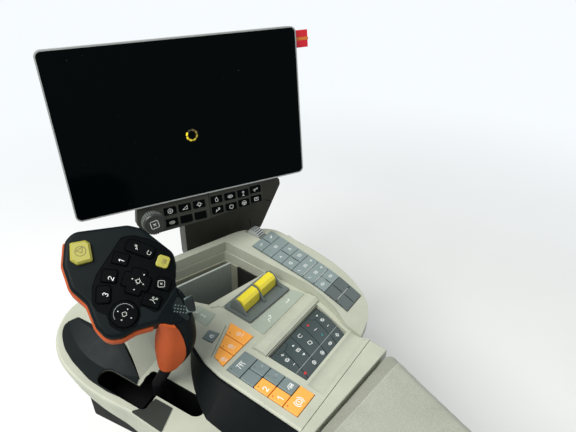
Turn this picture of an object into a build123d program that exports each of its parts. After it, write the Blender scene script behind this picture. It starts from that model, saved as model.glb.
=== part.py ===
from build123d import *
import os
from math import acos, cos, radians, sin, tan

os.makedirs("parts", exist_ok=True)

# Right-hand operator's armrest console of a harvesting machine, in millimetres.
# X points to the operator's right, Y forward, Z up. The origin is the centre of the four bolt
# holes, on the face of the seat plate that lies against the seat frame.
# Plan points are (x, y) from the key datum, which is the front left corner of the left key
# block on the top of the deck. Heights are from the top of the deck.

# Place of the key datum from the origin
datum_x = -10
datum_y = 250
deck_z = 190

# Clearances
seat_gap = 0.3       # pieces that lie against each other
key_gap = 0.5        # round a key
slide_gap = 0.3      # between the rail and its carriage
pin_gap = 0.05       # between a pivot pin and its hub

# Deck
deck_thickness = 16
rim_radius = 3.5
front_rise = 18      # of the front bridge and the right rib over the deck
shell_depth = 100    # of the tub under the deck
deck_rear = -111     # rear edge of the deck

# Keys
key_pitch = 20
key_pocket = 5
key_proud = 1.6
key_edge = 0.8

datum = Plane(origin=(datum_x, datum_y, deck_z))
side = Plane(origin=datum.origin, x_dir=(0, 1, 0), z_dir=(1, 0, 0))
cross = Plane(origin=datum.origin, x_dir=(1, 0, 0), z_dir=(0, -1, 0))


def outline(points, radius=0):
    """Closed polygon through the points, its corners rounded."""
    with BuildSketch() as shape:
        Polygon(*points, align=None)
        if radius:
            fillet(shape.vertices(), radius)
    return shape.sketch


def smooth(points, most):
    """Closed outline whose corners are arcs, as wide as their sides allow up to a radius. A point
    may carry a radius of its own, 0 for a sharp corner."""
    count = len(points)
    corners = []
    for i, point in enumerate(points):
        here = Vector(point[0], point[1])
        to_last = Vector(*points[i - 1][:2]) - here
        to_next = Vector(*points[(i + 1) % count][:2]) - here
        room = 0.49 * min(to_last.length, to_next.length)
        a, b = to_last.normalized(), to_next.normalized()
        half = acos(max(-1, min(1, a.dot(b)))) / 2
        reach = min(room, (point[2] if len(point) == 3 else most) / tan(half))
        middle = reach / cos(half) - reach * tan(half)
        corners.append((here + a * reach, here + (a + b).normalized() * middle, here + b * reach))
    with BuildSketch() as shape:
        with BuildLine():
            for i, (start, middle, end) in enumerate(corners):
                if start != end:
                    ThreePointArc(start, middle, end)
                Line(end, corners[(i + 1) % count][0])
        make_face()
    return shape.sketch


# Seat plate with its table: a bent steel bracket, gusseted, bolted to the seat frame
plate_thickness = 8
plate_length = 140
plate_low = -55
hole_radius = 4.5
hole_spacing_y = 100
hole_spacing_z = 60
table_z = deck_z - 104
table_width = 78
table_front = 62
table_rear = -130
gusset_thickness = 8
gusset_reach = 58

with BuildPart() as seat_plate:
    with BuildSketch(Plane.YZ):
        add(outline([(-plate_length / 2, plate_low), (plate_length / 2, plate_low),
                     (plate_length / 2, table_z - plate_thickness),
                     (-plate_length / 2, table_z - plate_thickness)]))
    extrude(amount=plate_thickness)
    with BuildSketch(Plane.XY.offset(table_z - plate_thickness)):
        add(outline([(0, table_rear), (table_width, table_rear), (table_width, table_front),
                     (0, table_front)]))
    extrude(amount=plate_thickness)
    with BuildSketch(Plane.XZ):
        add(outline([(plate_thickness, plate_low + 20), (plate_thickness + gusset_reach,
                     table_z - plate_thickness), (plate_thickness, table_z - plate_thickness)]))
    extrude(amount=gusset_thickness / 2, both=True)
    with Locations(Plane.YZ):
        with GridLocations(hole_spacing_y, hole_spacing_z, 2, 2):
            Hole(hole_radius, depth=plate_thickness)
seat_plate.part.label = "seat_plate"
export_step(seat_plate.part, "parts/seat_plate.step")

# Slide rail: a T section fixed along the table
rail_x = 40
rail_front = -182
rail_rear = -392
rail_stem_width = 20
rail_stem_height = 10
rail_head_width = 36
rail_head_height = 8
rail_low = table_z - deck_z
rail_neck = rail_low + rail_stem_height
rail_top = rail_neck + rail_head_height

with BuildPart() as slide_rail:
    with BuildSketch(cross.offset(-rail_front)):
        with Locations((rail_x, rail_low)):
            Rectangle(rail_stem_width, rail_stem_height, align=(Align.CENTER, Align.MIN))
        with Locations((rail_x, rail_neck)):
            Rectangle(rail_head_width, rail_head_height, align=(Align.CENTER, Align.MIN))
    extrude(amount=rail_front - rail_rear)
slide_rail.part.label = "slide_rail"
export_step(slide_rail.part, "parts/slide_rail.step")

# Carriage: a C section round the rail, under the armrest base
base_low = -70
carriage_width = 60
carriage_low = rail_low + 5
carriage_front = -235
carriage_length = 105

with BuildPart() as slide_carriage:
    with BuildSketch(cross.offset(-carriage_front)):
        with Locations((rail_x, carriage_low)):
            Rectangle(carriage_width, base_low - carriage_low, align=(Align.CENTER, Align.MIN))
        with Locations((rail_x, carriage_low)):
            Rectangle(rail_stem_width + 2 * slide_gap, base_low - carriage_low - 8,
                      align=(Align.CENTER, Align.MIN), mode=Mode.SUBTRACT)
        with Locations((rail_x, rail_neck - slide_gap)):
            Rectangle(rail_head_width + 2 * slide_gap, rail_head_height + 2 * slide_gap,
                      align=(Align.CENTER, Align.MIN), mode=Mode.SUBTRACT)
    extrude(amount=carriage_length)
slide_carriage.part.label = "slide_carriage"
export_step(slide_carriage.part, "parts/slide_carriage.step")

# Armrest base: the moulded beam that carries the pad, the deck and the pod
base_top = -14
arm_right_front = 138
arm_front = -107.3
arm_outline = [(-10, arm_front), (arm_right_front, arm_front), (134, -158), (97, -263), (66, -350),
               (52, -395), (-12, -395), (-16, -263)]
base_inset = 4
base_edge = 6

with BuildPart() as armrest_base:
    with BuildSketch(datum.offset(base_low)):
        offset(outline(arm_outline, 14), amount=-base_inset)
    extrude(amount=base_top - base_low)
    chamfer(armrest_base.faces().sort_by(Axis.Z)[0].edges(), base_edge)
armrest_base.part.label = "armrest_base"
export_step(armrest_base.part, "parts/armrest_base.step")

# Armrest pad: soft, with a bevel along its front edge
pad_front_left = -124
pad_front_right = -137
pad_top = 13
pad_outline = [(-12, pad_front_left), (137, pad_front_right), (131, -158), (94, -263),
               (64, -350), (50, -392), (-10, -392), (-16, -263)]

with BuildPart() as armrest_pad:
    with BuildSketch(datum.offset(base_top + seat_gap)):
        add(outline(pad_outline, 8))
    extrude(amount=pad_top - base_top - seat_gap)
    with BuildSketch(side.offset(-40)):
        add(outline([(-119, 0), (-119, 40), (-157, 40), (-157, pad_top), (-138, 0)]))
    extrude(amount=200, mode=Mode.SUBTRACT)
armrest_pad.part.label = "armrest_pad"
export_step(armrest_pad.part, "parts/armrest_pad.step")

# Rear bar: the raised strip across the armrest base, in front of the pad
with BuildPart() as rear_bar:
    with BuildSketch(datum.offset(base_top)):
        add(outline([(-12, deck_rear - seat_gap), (141, deck_rear - seat_gap), (140, pad_front_right + 1.5),
                     (-12, pad_front_left + 1.5)], 1))
    extrude(amount=-base_top)
    fillet(rear_bar.faces().sort_by(Axis.Z)[-1].edges(), 1.5)
rear_bar.part.label = "rear_bar"
export_step(rear_bar.part, "parts/rear_bar.step")

# Deck shell: plate with the tray opening and the key pockets
rib_inner_x = 161
block_width = 34
block_rows = 5
tray_corners = [(64, 86), (160, 66), (160, 143), (48, 178), (46, 132)]
block_corners = [(0, 0), (block_width, 0), (block_width, -block_rows * key_pitch),
                 (0, -block_rows * key_pitch)]
row_corners = [(57.5, 43), (57.5, 5.5), (1, 5.5), (5, 23)]
lock_corners = [(32, 57), (36, 42), (19, 39), (17, 54)]
groove_corners = [(50.6, 45.4), (51, 44.4), (4, 25.7), (3.6, 26.7)]
groove_depth = 1.5
bezel_corners = [(71, 67), (152, 64), (151, 18), (71, 22)]
pad_keys_corners = [(44, -26), (151.5, -26), (134, -82), (44, -82)]
deck_corners = [(-11, deck_rear, 0), (-11, 0), (-7, 27), (6, 62), (16, 110), (30, 196, 0),
                (rib_inner_x, 156, 0), (rib_inner_x, 0), (157, -32), (150, -56), (139, -78),
                (141, deck_rear, 0)]
deck_bend = 25       # radius of the bends shared by the pieces round the deck's edge
scoop_front = -85.5  # hollow across the deck behind the centre keypad
scoop_rear = -107
scoop_depth = 4
scoop_left = 39.5
scoop_half = (scoop_front - scoop_rear) / 2
scoop_radius = (scoop_half ** 2 + scoop_depth ** 2) / (2 * scoop_depth)

with BuildPart() as deck_shell:
    with BuildSketch(datum.offset(-deck_thickness)):
        add(smooth(deck_corners, deck_bend))
    extrude(amount=deck_thickness)
    fillet(deck_shell.faces().sort_by(Axis.Z)[-1].edges().filter_by(
        lambda e: e.center().X < datum_x + 24), rim_radius)
    with BuildSketch(datum.offset(-deck_thickness)):
        add(outline(tray_corners, 4))
        add(outline(pad_keys_corners))
    extrude(amount=deck_thickness, mode=Mode.SUBTRACT)
    with BuildSketch(datum.offset(-key_pocket)):
        add(outline(block_corners))
        add(outline(row_corners))
        add(outline(lock_corners))
    extrude(amount=key_pocket, mode=Mode.SUBTRACT)
    with BuildSketch(side.offset(scoop_left)):
        with Locations(((scoop_front + scoop_rear) / 2, scoop_radius - scoop_depth)):
            Circle(scoop_radius)
    extrude(amount=200, mode=Mode.SUBTRACT)
    with BuildSketch(datum.offset(-groove_depth)):
        add(outline(groove_corners))
    extrude(amount=groove_depth, mode=Mode.SUBTRACT)
deck_shell.part.label = "deck_shell"
export_step(deck_shell.part, "parts/deck_shell.step")

# Right rib with the front bridge: one moulding that stands over the deck, flat in front and
# arched down behind along an arc of arch_radius
arch_start = 10
arch_radius = 315
arch_centre = front_rise - arch_radius
bridge_corners = [(30.5, 196.5), (rib_inner_x + 2, 154.3), (rib_inner_x + 2, 142.6),
                  (160, 143.3), (48, 178.3)]
rib_corners = [(rib_inner_x + seat_gap, 155, 0), (196, 144, 60), (232, 109, 60), (230, 72), (227, 33),
               (221, -5), (213, -38), (203, -64, 80), (190, -82, 60), (172, -93, 60), (141.4, -99, 0),
               (139.4, -78, deck_bend), (150.4, -56, deck_bend), (157.3, -32, deck_bend),
               (rib_inner_x + seat_gap, 0, deck_bend)]
rib_bend = 200
rib_tabs = [(225, 74, 10, 14), (208.5, -17, 10, 14)]
tab_depth = 3
wheel_radius = 14
wheel_width = 13
wheel_x = 206
wheel_y = 121
wheel_z = 12
wheel_axle = 2.5
wheel_slot = 1.2
wheel_ribs = 24
rib_groove = 1.4


def arch_face(low, high, front, turn):
    """Side view of a layer between two offsets from the rib's top, over turn degrees of arch."""
    with BuildSketch() as shape:
        with BuildLine():
            outer = arch_radius + high
            inner = arch_radius + low
            a = radians(turn)
            top_end = (arch_start - outer * sin(a), arch_centre + outer * cos(a))
            low_end = (arch_start - inner * sin(a), arch_centre + inner * cos(a))
            top_mid = (arch_start - outer * sin(a / 2), arch_centre + outer * cos(a / 2))
            low_mid = (arch_start - inner * sin(a / 2), arch_centre + inner * cos(a / 2))
            Line((front, front_rise + high), (arch_start, front_rise + high))
            ThreePointArc((arch_start, front_rise + high), top_mid, top_end)
            Line(top_end, low_end)
            ThreePointArc(low_end, low_mid, (arch_start, front_rise + low))
            Line((arch_start, front_rise + low), (front, front_rise + low))
            Line((front, front_rise + low), (front, front_rise + high))
        make_face()
    return shape.sketch


# Key strip on the rib: nine rows between two straight edges that draw together behind
strip_front = 105
strip_pitch = 19.3
strip_left = 176.5
strip_left_slope = 0.112
strip_right = 224
strip_right_slope = 0.172
strip_rows = ("pair", "wide", "pair", "pair", "wide", "wide", "pair", "pair", "pair")
strip_depth = 4
strip_rear = strip_front - strip_pitch * len(strip_rows)


def strip_x(y, share):
    """X at a share of the strip's width, from its left edge to its right edge."""
    left = strip_left + (y - strip_front) * strip_left_slope
    right = strip_right + (y - strip_front) * strip_right_slope
    return left + (right - left) * share


def strip_cell(front, rear, left, right, gap):
    """Plan of one key of the strip, a gap smaller all round."""
    return outline([(strip_x(front, left) + gap, front - gap), (strip_x(front, right) - gap, front - gap),
                    (strip_x(rear, right) - gap, rear + gap), (strip_x(rear, left) + gap, rear + gap)])


with BuildPart() as strip_pocket:
    with BuildSketch(side.offset(100)):
        add(arch_face(-strip_depth, 30, 130, 24))
    extrude(amount=150)
    with BuildSketch(datum.offset(-60)):
        add(strip_cell(strip_front, strip_rear, 0, 1, 0))
    extrude(amount=120, mode=Mode.INTERSECT)

with BuildPart() as right_rib:
    with BuildSketch(datum.offset(-deck_thickness)):
        add(smooth(rib_corners, rib_bend))
        for x, y, width, length in rib_tabs:
            with Locations(Location((x, y), -12)):
                RectangleRounded(width + tab_depth, length, 3)
    extrude(amount=deck_thickness + front_rise)
    with BuildSketch(datum):
        add(outline(bridge_corners))
    extrude(amount=front_rise)
    with BuildSketch(side.offset(100)):
        add(arch_face(0, 60, arch_start + 1, 24))
    extrude(amount=160, mode=Mode.SUBTRACT)
    add(strip_pocket.part, mode=Mode.SUBTRACT)
    with BuildSketch(datum.offset(-deck_thickness)):
        with Locations((wheel_x, wheel_y)):
            Rectangle(wheel_width + 2 * wheel_slot, 2 * (wheel_radius + wheel_slot))
    extrude(amount=60, mode=Mode.SUBTRACT)
right_rib.part.label = "right_rib"
export_step(right_rib.part, "parts/right_rib.step")

with BuildPart() as rib_keys:
    with BuildSketch(side.offset(100)):
        add(arch_face(-strip_depth, key_proud, 130, 24))
    extrude(amount=150)
    with BuildSketch(datum.offset(-60)):
        for row, kind in enumerate(strip_rows):
            front = strip_front - row * strip_pitch
            rear = front - strip_pitch
            if kind == "wide":
                add(strip_cell(front, rear, 0, 1, key_gap))
            else:
                add(strip_cell(front, rear, 0, 0.5, key_gap))
                add(strip_cell(front, rear, 0.5, 1, key_gap))
    extrude(amount=120, mode=Mode.INTERSECT)
rib_keys.part.label = "rib_keys"
export_step(rib_keys.part, "parts/rib_keys.step")

# Thumb wheel, half sunk in the rib in front of the strip
with BuildPart() as thumb_wheel:
    with BuildSketch(side.offset(wheel_x - wheel_width / 2)):
        with Locations((wheel_y, wheel_z)):
            Circle(wheel_radius)
            with PolarLocations(wheel_radius, wheel_ribs):
                Rectangle(2 * rib_groove, rib_groove, mode=Mode.SUBTRACT)
    extrude(amount=wheel_width)
    with BuildSketch(side.offset(wheel_x - wheel_width / 2 - wheel_slot + seat_gap)):
        with Locations((wheel_y, wheel_z)):
            Circle(wheel_axle)
    extrude(amount=wheel_width + 2 * (wheel_slot - seat_gap))
thumb_wheel.part.label = "thumb_wheel"
export_step(thumb_wheel.part, "parts/thumb_wheel.step")

# Left key block: a wide key, three rows of two, and a wide key behind
# Each cell: row from the front, first and last half column, colour
block_cells = [(0, 0, 2, "grey"), (1, 0, 1, "grey"), (1, 1, 2, "grey"), (2, 0, 1, "orange"),
               (2, 1, 2, "grey"), (3, 0, 1, "orange"), (3, 1, 2, "grey"), (4, 0, 2, "orange")]
dimples = [(26, -30.5), (26, -50.5)]
dimple_radius = 9
dimple_depth = 0.8


def block_cell(row, first, last):
    """Plan of one key of the left block."""
    half = block_width / 2
    front = -row * key_pitch - key_gap
    rear = -(row + 1) * key_pitch + key_gap
    return outline([(first * half + key_gap, front), (last * half - key_gap, front),
                    (last * half - key_gap, rear), (first * half + key_gap, rear)], 1)


with BuildPart() as block_keys_grey:
    with BuildSketch(datum.offset(-key_pocket)):
        for row, first, last, colour in block_cells:
            if colour == "grey":
                add(block_cell(row, first, last))
    extrude(amount=key_pocket + key_proud)
    fillet(block_keys_grey.faces().group_by(Axis.Z)[-1].edges(), key_edge)
    for x, y in dimples:
        with Locations(datum.from_local_coords((x, y, key_proud + dimple_radius - dimple_depth))):
            Sphere(dimple_radius, mode=Mode.SUBTRACT)
block_keys_grey.part.label = "block_keys_grey"
export_step(block_keys_grey.part, "parts/block_keys_grey.step")

with BuildPart() as block_keys_orange:
    with BuildSketch(datum.offset(-key_pocket)):
        for row, first, last, colour in block_cells:
            if colour == "orange":
                add(block_cell(row, first, last))
    extrude(amount=key_pocket + key_proud)
    fillet(block_keys_orange.faces().group_by(Axis.Z)[-1].edges(), key_edge)
block_keys_orange.part.label = "block_keys_orange"
export_step(block_keys_orange.part, "parts/block_keys_orange.step")

# Row of three orange keys in a tapered pocket
with BuildPart() as row_keys_orange:
    with BuildSketch(datum.offset(-key_pocket)):
        offset(outline(row_corners), amount=-key_gap)
        for x in (20, 39):
            with Locations((x, 25)):
                Rectangle(1, 60, mode=Mode.SUBTRACT)
    extrude(amount=key_pocket + key_proud)
    fillet(row_keys_orange.faces().group_by(Axis.Z)[-1].edges(), key_edge)
row_keys_orange.part.label = "row_keys_orange"
export_step(row_keys_orange.part, "parts/row_keys_orange.step")

# Lock key
with BuildPart() as lock_key:
    with BuildSketch(datum.offset(-key_pocket)):
        offset(outline(lock_corners, 3), amount=-key_gap)
    extrude(amount=key_pocket + key_proud)
    fillet(lock_key.faces().group_by(Axis.Z)[-1].edges(), key_edge)
lock_key.part.label = "lock_key"
export_step(lock_key.part, "parts/lock_key.step")

# Blank label plates on the deck
label_thickness = 0.8
with BuildPart() as label_plate_side:
    with BuildSketch(datum):
        add(outline([(54, 99), (57, 68), (34, 62), (35, 84)], 2))
    extrude(amount=label_thickness)
label_plate_side.part.label = "label_plate_side"
export_step(label_plate_side.part, "parts/label_plate_side.step")

with BuildPart() as label_plate_rear:
    with BuildSketch(datum):
        add(outline([(69, 20), (154, 15.5), (158, -2), (67, -2)], 1.5))
    extrude(amount=label_thickness)
label_plate_rear.part.label = "label_plate_rear"
export_step(label_plate_rear.part, "parts/label_plate_rear.step")

# Small ribbed knob on the deck's left edge
trim_knob_radius = 7
trim_knob_height = 18
with BuildPart() as trim_knob:
    with BuildSketch(datum):
        with Locations((30, 95)):
            Circle(trim_knob_radius)
            with PolarLocations(trim_knob_radius, 18):
                Rectangle(1.2, 1, mode=Mode.SUBTRACT)
    extrude(amount=trim_knob_height)
    with BuildSketch(datum.offset(trim_knob_height)):
        with Locations((30, 95)):
            Circle(trim_knob_radius - 1.2)
    extrude(amount=1.5)
trim_knob.part.label = "trim_knob"
export_step(trim_knob.part, "parts/trim_knob.step")

# Tray bin, hung under the tray opening, and the grey divider that stands in it
tray_depth = shell_depth - 8
tray_wall = 2.5
with BuildPart() as tray_bin:
    with BuildSketch(datum.offset(-tray_depth)):
        add(outline(tray_corners, 4))
    extrude(amount=tray_depth - deck_thickness)
    with BuildSketch(datum.offset(tray_wall - tray_depth)):
        offset(outline(tray_corners, 4), amount=-tray_wall)
    extrude(amount=tray_depth, mode=Mode.SUBTRACT)
tray_bin.part.label = "tray_bin"
export_step(tray_bin.part, "parts/tray_bin.step")

divider_right = (145, 122)
divider_left = (50.5, 149)
divider_thickness = 3
divider_foot = tray_wall - tray_depth
with BuildPart() as tray_divider:
    with BuildSketch(datum.offset(divider_foot)):
        add(outline([divider_left, divider_right,
                     (divider_right[0], divider_right[1] - divider_thickness),
                     (divider_left[0], divider_left[1] - divider_thickness)]))
    extrude(amount=-divider_foot)
tray_divider.part.label = "tray_divider"
export_step(tray_divider.part, "parts/tray_divider.step")

# Toggle bezel with three cheeks, and the two yellow toggles between them
bezel_height = 4
cheek_thickness = 3
cheek_places = (76, 111.5, 147)
cheek_profile = [(27, 1), (60, 1), (56, 17), (49, 21), (44, 19)]
toggle_profile = [(37, 2.3), (48, 2.3), (54, 17), (50, 21.5), (42, 21), (38, 17)]
toggle_gap = 1
with BuildPart() as toggle_bezel:
    with BuildSketch(datum):
        add(outline(bezel_corners, 2))
    extrude(amount=bezel_height)
    with BuildSketch(datum.offset(bezel_height - 2)):
        add(outline([(cheek_places[0] + 1, 60), (cheek_places[-1] - 1, 60),
                     (cheek_places[-1] - 1, 26), (cheek_places[0] + 1, 26)], 1))
    extrude(amount=bezel_height, mode=Mode.SUBTRACT)
    for x in cheek_places:
        with BuildSketch(side.offset(x - cheek_thickness / 2)):
            add(outline(cheek_profile, 2))
        extrude(amount=cheek_thickness)
toggle_bezel.part.label = "toggle_bezel"
export_step(toggle_bezel.part, "parts/toggle_bezel.step")

# Ledge between the tray's rear edge and the bezel
ledge_corners = [(60.5, 80), (63.5, 85.3), (159, 65.4), (158, 60), (153.5, 61), (153, 65.5), (70, 68.8),
                 (69.5, 73.5)]
ledge_thickness = 1.4
with BuildPart() as tray_ledge:
    with BuildSketch(datum):
        add(outline(ledge_corners, 0.8))
    extrude(amount=ledge_thickness)
tray_ledge.part.label = "tray_ledge"
export_step(tray_ledge.part, "parts/tray_ledge.step")

toggle_length = cheek_places[1] - cheek_places[0] - cheek_thickness - 2 * toggle_gap
with BuildPart() as toggle_left:
    with BuildSketch(side.offset(cheek_places[0] + cheek_thickness / 2 + toggle_gap)):
        add(outline(toggle_profile, 2))
    extrude(amount=toggle_length)
toggle_left.part.label = "toggle_left"
export_step(toggle_left.part, "parts/toggle_left.step")

with BuildPart() as toggle_right:
    with BuildSketch(side.offset(cheek_places[1] + cheek_thickness / 2 + toggle_gap)):
        add(outline(toggle_profile, 2))
    extrude(amount=toggle_length)
toggle_right.part.label = "toggle_right"
export_step(toggle_right.part, "parts/toggle_right.step")

# Hood bar in front of the centre keypad
with BuildPart() as hood_bar:
    with BuildSketch(side.offset(42)):
        add(outline([(-4, 0), (-4, 2.5), (-9, 5), (-20, 5), (-25, 2.5), (-25, 0)], 0.8))
    extrude(amount=116)
hood_bar.part.label = "hood_bar"
export_step(hood_bar.part, "parts/hood_bar.step")

# Centre keypad: a sunk base with five tall keys and five short keys behind, under one low arc
keypad_floor = -13
keypad_front = -27
keypad_split = -66
keypad_rear = -81
column_fronts = (45, 66.5, 88.5, 111, 133, 150)
column_rears = (45, 51, 71, 93, 114.5, 133)
small_keys = [[(56, -27.5), (77, -27.5), (75.7, -32.5), (66, -36.5), (56.7, -33)],
              [(126, -27.5), (146, -27.5), (146, -34), (133, -38.5), (126.5, -35.5)]]


def keypad_x(y, column):
    """X of the left edge of a column of keys."""
    along = (y - keypad_front) / (keypad_rear - keypad_front)
    return column_fronts[column] + (column_rears[column] - column_fronts[column]) * along


with BuildPart() as keypad_base:
    with BuildSketch(datum.offset(-deck_thickness - 6)):
        offset(outline(pad_keys_corners), amount=4)
    extrude(amount=6)
    with BuildSketch(datum.offset(-deck_thickness)):
        offset(outline(pad_keys_corners), amount=-seat_gap)
    extrude(amount=keypad_floor + deck_thickness)
keypad_base.part.label = "keypad_base"
export_step(keypad_base.part, "parts/keypad_base.step")

with BuildPart() as centre_keys:
    with BuildSketch(side.offset(30)):
        with BuildLine():
            ThreePointArc((keypad_front, -5), (-52, -1.5), (keypad_rear, -6))
            Line((keypad_rear, -6), (keypad_rear, keypad_floor))
            Line((keypad_rear, keypad_floor), (keypad_front, keypad_floor))
            Line((keypad_front, keypad_floor), (keypad_front, -5))
        make_face()
    extrude(amount=140)
    with BuildSketch(datum.offset(-60)):
        for column in range(len(column_fronts) - 1):
            for front, rear in ((keypad_front, keypad_split), (keypad_split, keypad_rear)):
                add(outline([(keypad_x(front, column) + key_gap, front - key_gap),
                             (keypad_x(front, column + 1) - key_gap, front - key_gap),
                             (keypad_x(rear, column + 1) - key_gap, rear + key_gap),
                             (keypad_x(rear, column) + key_gap, rear + key_gap)]))
        for corners in small_keys:
            offset(outline(corners), amount=key_gap, mode=Mode.SUBTRACT)
            add(outline(corners, 0.6))
    extrude(amount=90, mode=Mode.INTERSECT)
centre_keys.part.label = "centre_keys"
export_step(centre_keys.part, "parts/centre_keys.step")

# Lower shell: a tub under the deck and the rib
shell_wall = 4
shell_taper = 2
shell_corners = [(-10.5, deck_rear, 5), (-10.5, 0), (-6.5, 27), (6.5, 62), (16.5, 110), (30.5, 194, 3),
                 (192, 142, 50), (226, 106, 50), (221, 20, 120), (209, -38, 90), (188, -76, 50),
                 (142, -94, 6), (138, deck_rear, 3)]
with BuildPart() as lower_shell:
    with BuildSketch(datum.offset(-deck_thickness)):
        add(smooth(shell_corners, deck_bend))
    extrude(amount=deck_thickness - shell_depth, taper=shell_taper)
    with BuildSketch(datum.offset(-deck_thickness)):
        offset(smooth(shell_corners, deck_bend), amount=-shell_wall)
    extrude(amount=deck_thickness - shell_depth + shell_wall, taper=shell_taper, mode=Mode.SUBTRACT)
lower_shell.part.label = "lower_shell"
export_step(lower_shell.part, "parts/lower_shell.step")

# Pod on the left: a hull under a top that rises pod_rise degrees to the front
pod_rise = 10
pod_y = 60
pod_z = -18
pod_wall = 3.5
pod = Plane(origin=(datum_x, datum_y + pod_y, deck_z + pod_z), x_dir=(1, 0, 0),
            z_dir=(0, -sin(radians(pod_rise)), cos(radians(pod_rise))))
pod_outline = [(29.6, 196, 0), (-10, 216), (-43, 217), (-60, 213), (-79, 202), (-92, 189), (-102, 172),
               (-107, 153), (-108, 118), (-103, 88), (-95, 59), (-89, 19), (-75, -30), (-52, -78),
               (-26, -110, 0), (-11.3, -110, 0), (-11.3, 0, deck_bend), (-7.3, 27, deck_bend),
               (5.7, 62, deck_bend), (15.7, 110, deck_bend)]
pod_bend = 150
pod_edge = 3
seam_low = -11       # parting line round the pod, from its top
seam_height = 1
seam_depth = 0.8
hull_profile = [(220, 60), (220, 4), (150, -8), (65, -44), (0, -80), (-60, -96), (-115, -98),
                (-115, 60)]
hull_inner = [(150, 60), (120, -15.5), (65, -39), (0, -75.5), (-60, -91), (-115, -93), (-115, 60)]


def pod_local(points):
    """Plan points as points on the pod's tilted plane."""
    return [(x, (y - pod_y) / cos(radians(pod_rise))) for x, y in points]


# Lever gate, in a frame turned gate_turn degrees to the left: x along the hinge axis, y ahead
# Each lane: x of its middle line, y of its rear end, y of its front end, radius
gate_turn = 11
gate_x = -52
gate_y = 58
lanes = [(0, -50, 6, 12), (-23, 6, 52, 11)]
channel = [(-34, -6), (12, -6), (12, 17), (-34, 17)]
gate = Plane(origin=(datum_x + gate_x, datum_y + gate_y, deck_z),
             x_dir=(cos(radians(gate_turn)), sin(radians(gate_turn)), 0), z_dir=(0, 0, 1))

with BuildSketch() as gate_slot:
    for x, rear, front, radius in lanes:
        with Locations((x, (rear + front) / 2)):
            SlotCenterToCenter(front - rear, 2 * radius, rotation=90)
    add(outline(channel, 5))

# Lever housing: a wide box under the gate and a narrow one round the lever's foot
pivot_z = -178
pivot_pin = 5
pivot_hub = 12
hub_width = 24
housing_wall = 4
hinge = Plane(origin=gate.from_local_coords((0, 0, pivot_z)), x_dir=gate.y_dir, z_dir=gate.x_dir)
upper_left = -41
upper_right = 22
upper_rear = -69
upper_front = 70
upper_low = -62
gate_low = -45
lower_half_width = 22
lower_rear = -52
lower_front = 22
lower_low = -200

with BuildPart() as lever_housing:
    with BuildSketch(gate.offset(upper_low)):
        add(outline([(upper_left, upper_rear), (upper_right, upper_rear), (upper_right, upper_front),
                     (upper_left, upper_front)], 6))
    extrude(amount=-upper_low)
    with BuildSketch(gate.offset(lower_low)):
        add(outline([(-lower_half_width, lower_rear), (lower_half_width, lower_rear),
                     (lower_half_width, lower_front), (-lower_half_width, lower_front)], 6))
    extrude(amount=upper_low - lower_low)
    with BuildSketch(gate.offset(upper_low + housing_wall)):
        add(outline([(upper_left + housing_wall, upper_rear + housing_wall),
                     (upper_right - housing_wall, upper_rear + housing_wall),
                     (upper_right - housing_wall, upper_front - housing_wall),
                     (upper_left + housing_wall, upper_front - housing_wall)], 3))
    extrude(amount=-upper_low, mode=Mode.SUBTRACT)
    with BuildSketch(gate.offset(lower_low + housing_wall)):
        add(outline([(housing_wall - lower_half_width, lower_rear + housing_wall),
                     (lower_half_width - housing_wall, lower_rear + housing_wall),
                     (lower_half_width - housing_wall, lower_front - housing_wall),
                     (housing_wall - lower_half_width, lower_front - housing_wall)], 3))
    extrude(amount=upper_low - lower_low, mode=Mode.SUBTRACT)
    with BuildSketch(pod.offset(-pod_wall - seat_gap)):
        Rectangle(600, 900)
    extrude(amount=300, mode=Mode.SUBTRACT)
    with BuildSketch(hinge.offset(1 - lower_half_width)):
        Circle(pivot_pin)
    extrude(amount=2 * lower_half_width - 2)
lever_housing.part.label = "lever_housing"
export_step(lever_housing.part, "parts/lever_housing.step")

with BuildPart() as pod_hollow:
    with BuildSketch(datum.offset(-120)):
        offset(smooth(pod_outline, pod_bend), amount=-pod_wall)
    extrude(amount=180)
    with BuildSketch(side.offset(-150)):
        add(outline(hull_inner))
    extrude(amount=240, mode=Mode.INTERSECT)
    with BuildSketch(pod.offset(-pod_wall)):
        Rectangle(600, 900)
    extrude(amount=200, mode=Mode.SUBTRACT)

with BuildPart() as housing_room:
    with BuildSketch(gate.offset(-150)):
        offset(outline([(upper_left, upper_rear), (upper_right, upper_rear), (upper_right, upper_front),
                        (upper_left, upper_front)], 6), amount=seat_gap)
    extrude(amount=200)
    with BuildSketch(pod.offset(-pod_wall)):
        Rectangle(600, 900)
    extrude(amount=200, mode=Mode.SUBTRACT)

with BuildPart() as pod_seam:
    with BuildSketch(datum.offset(-120)):
        offset(smooth(pod_outline, pod_bend), amount=10)
        offset(smooth(pod_outline, pod_bend), amount=-seam_depth, mode=Mode.SUBTRACT)
    extrude(amount=180)
    with BuildSketch(pod.offset(seam_low)):
        Rectangle(600, 900)
    extrude(amount=-200, mode=Mode.SUBTRACT)
    with BuildSketch(pod.offset(seam_low + seam_height)):
        Rectangle(600, 900)
    extrude(amount=200, mode=Mode.SUBTRACT)
    with BuildSketch(datum.offset(-120)):
        add(outline([(-10.5, 60), (-14, -200), (200, -200), (200, 300), (20, 240), (20, 180)]))
    extrude(amount=180, mode=Mode.SUBTRACT)

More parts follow.
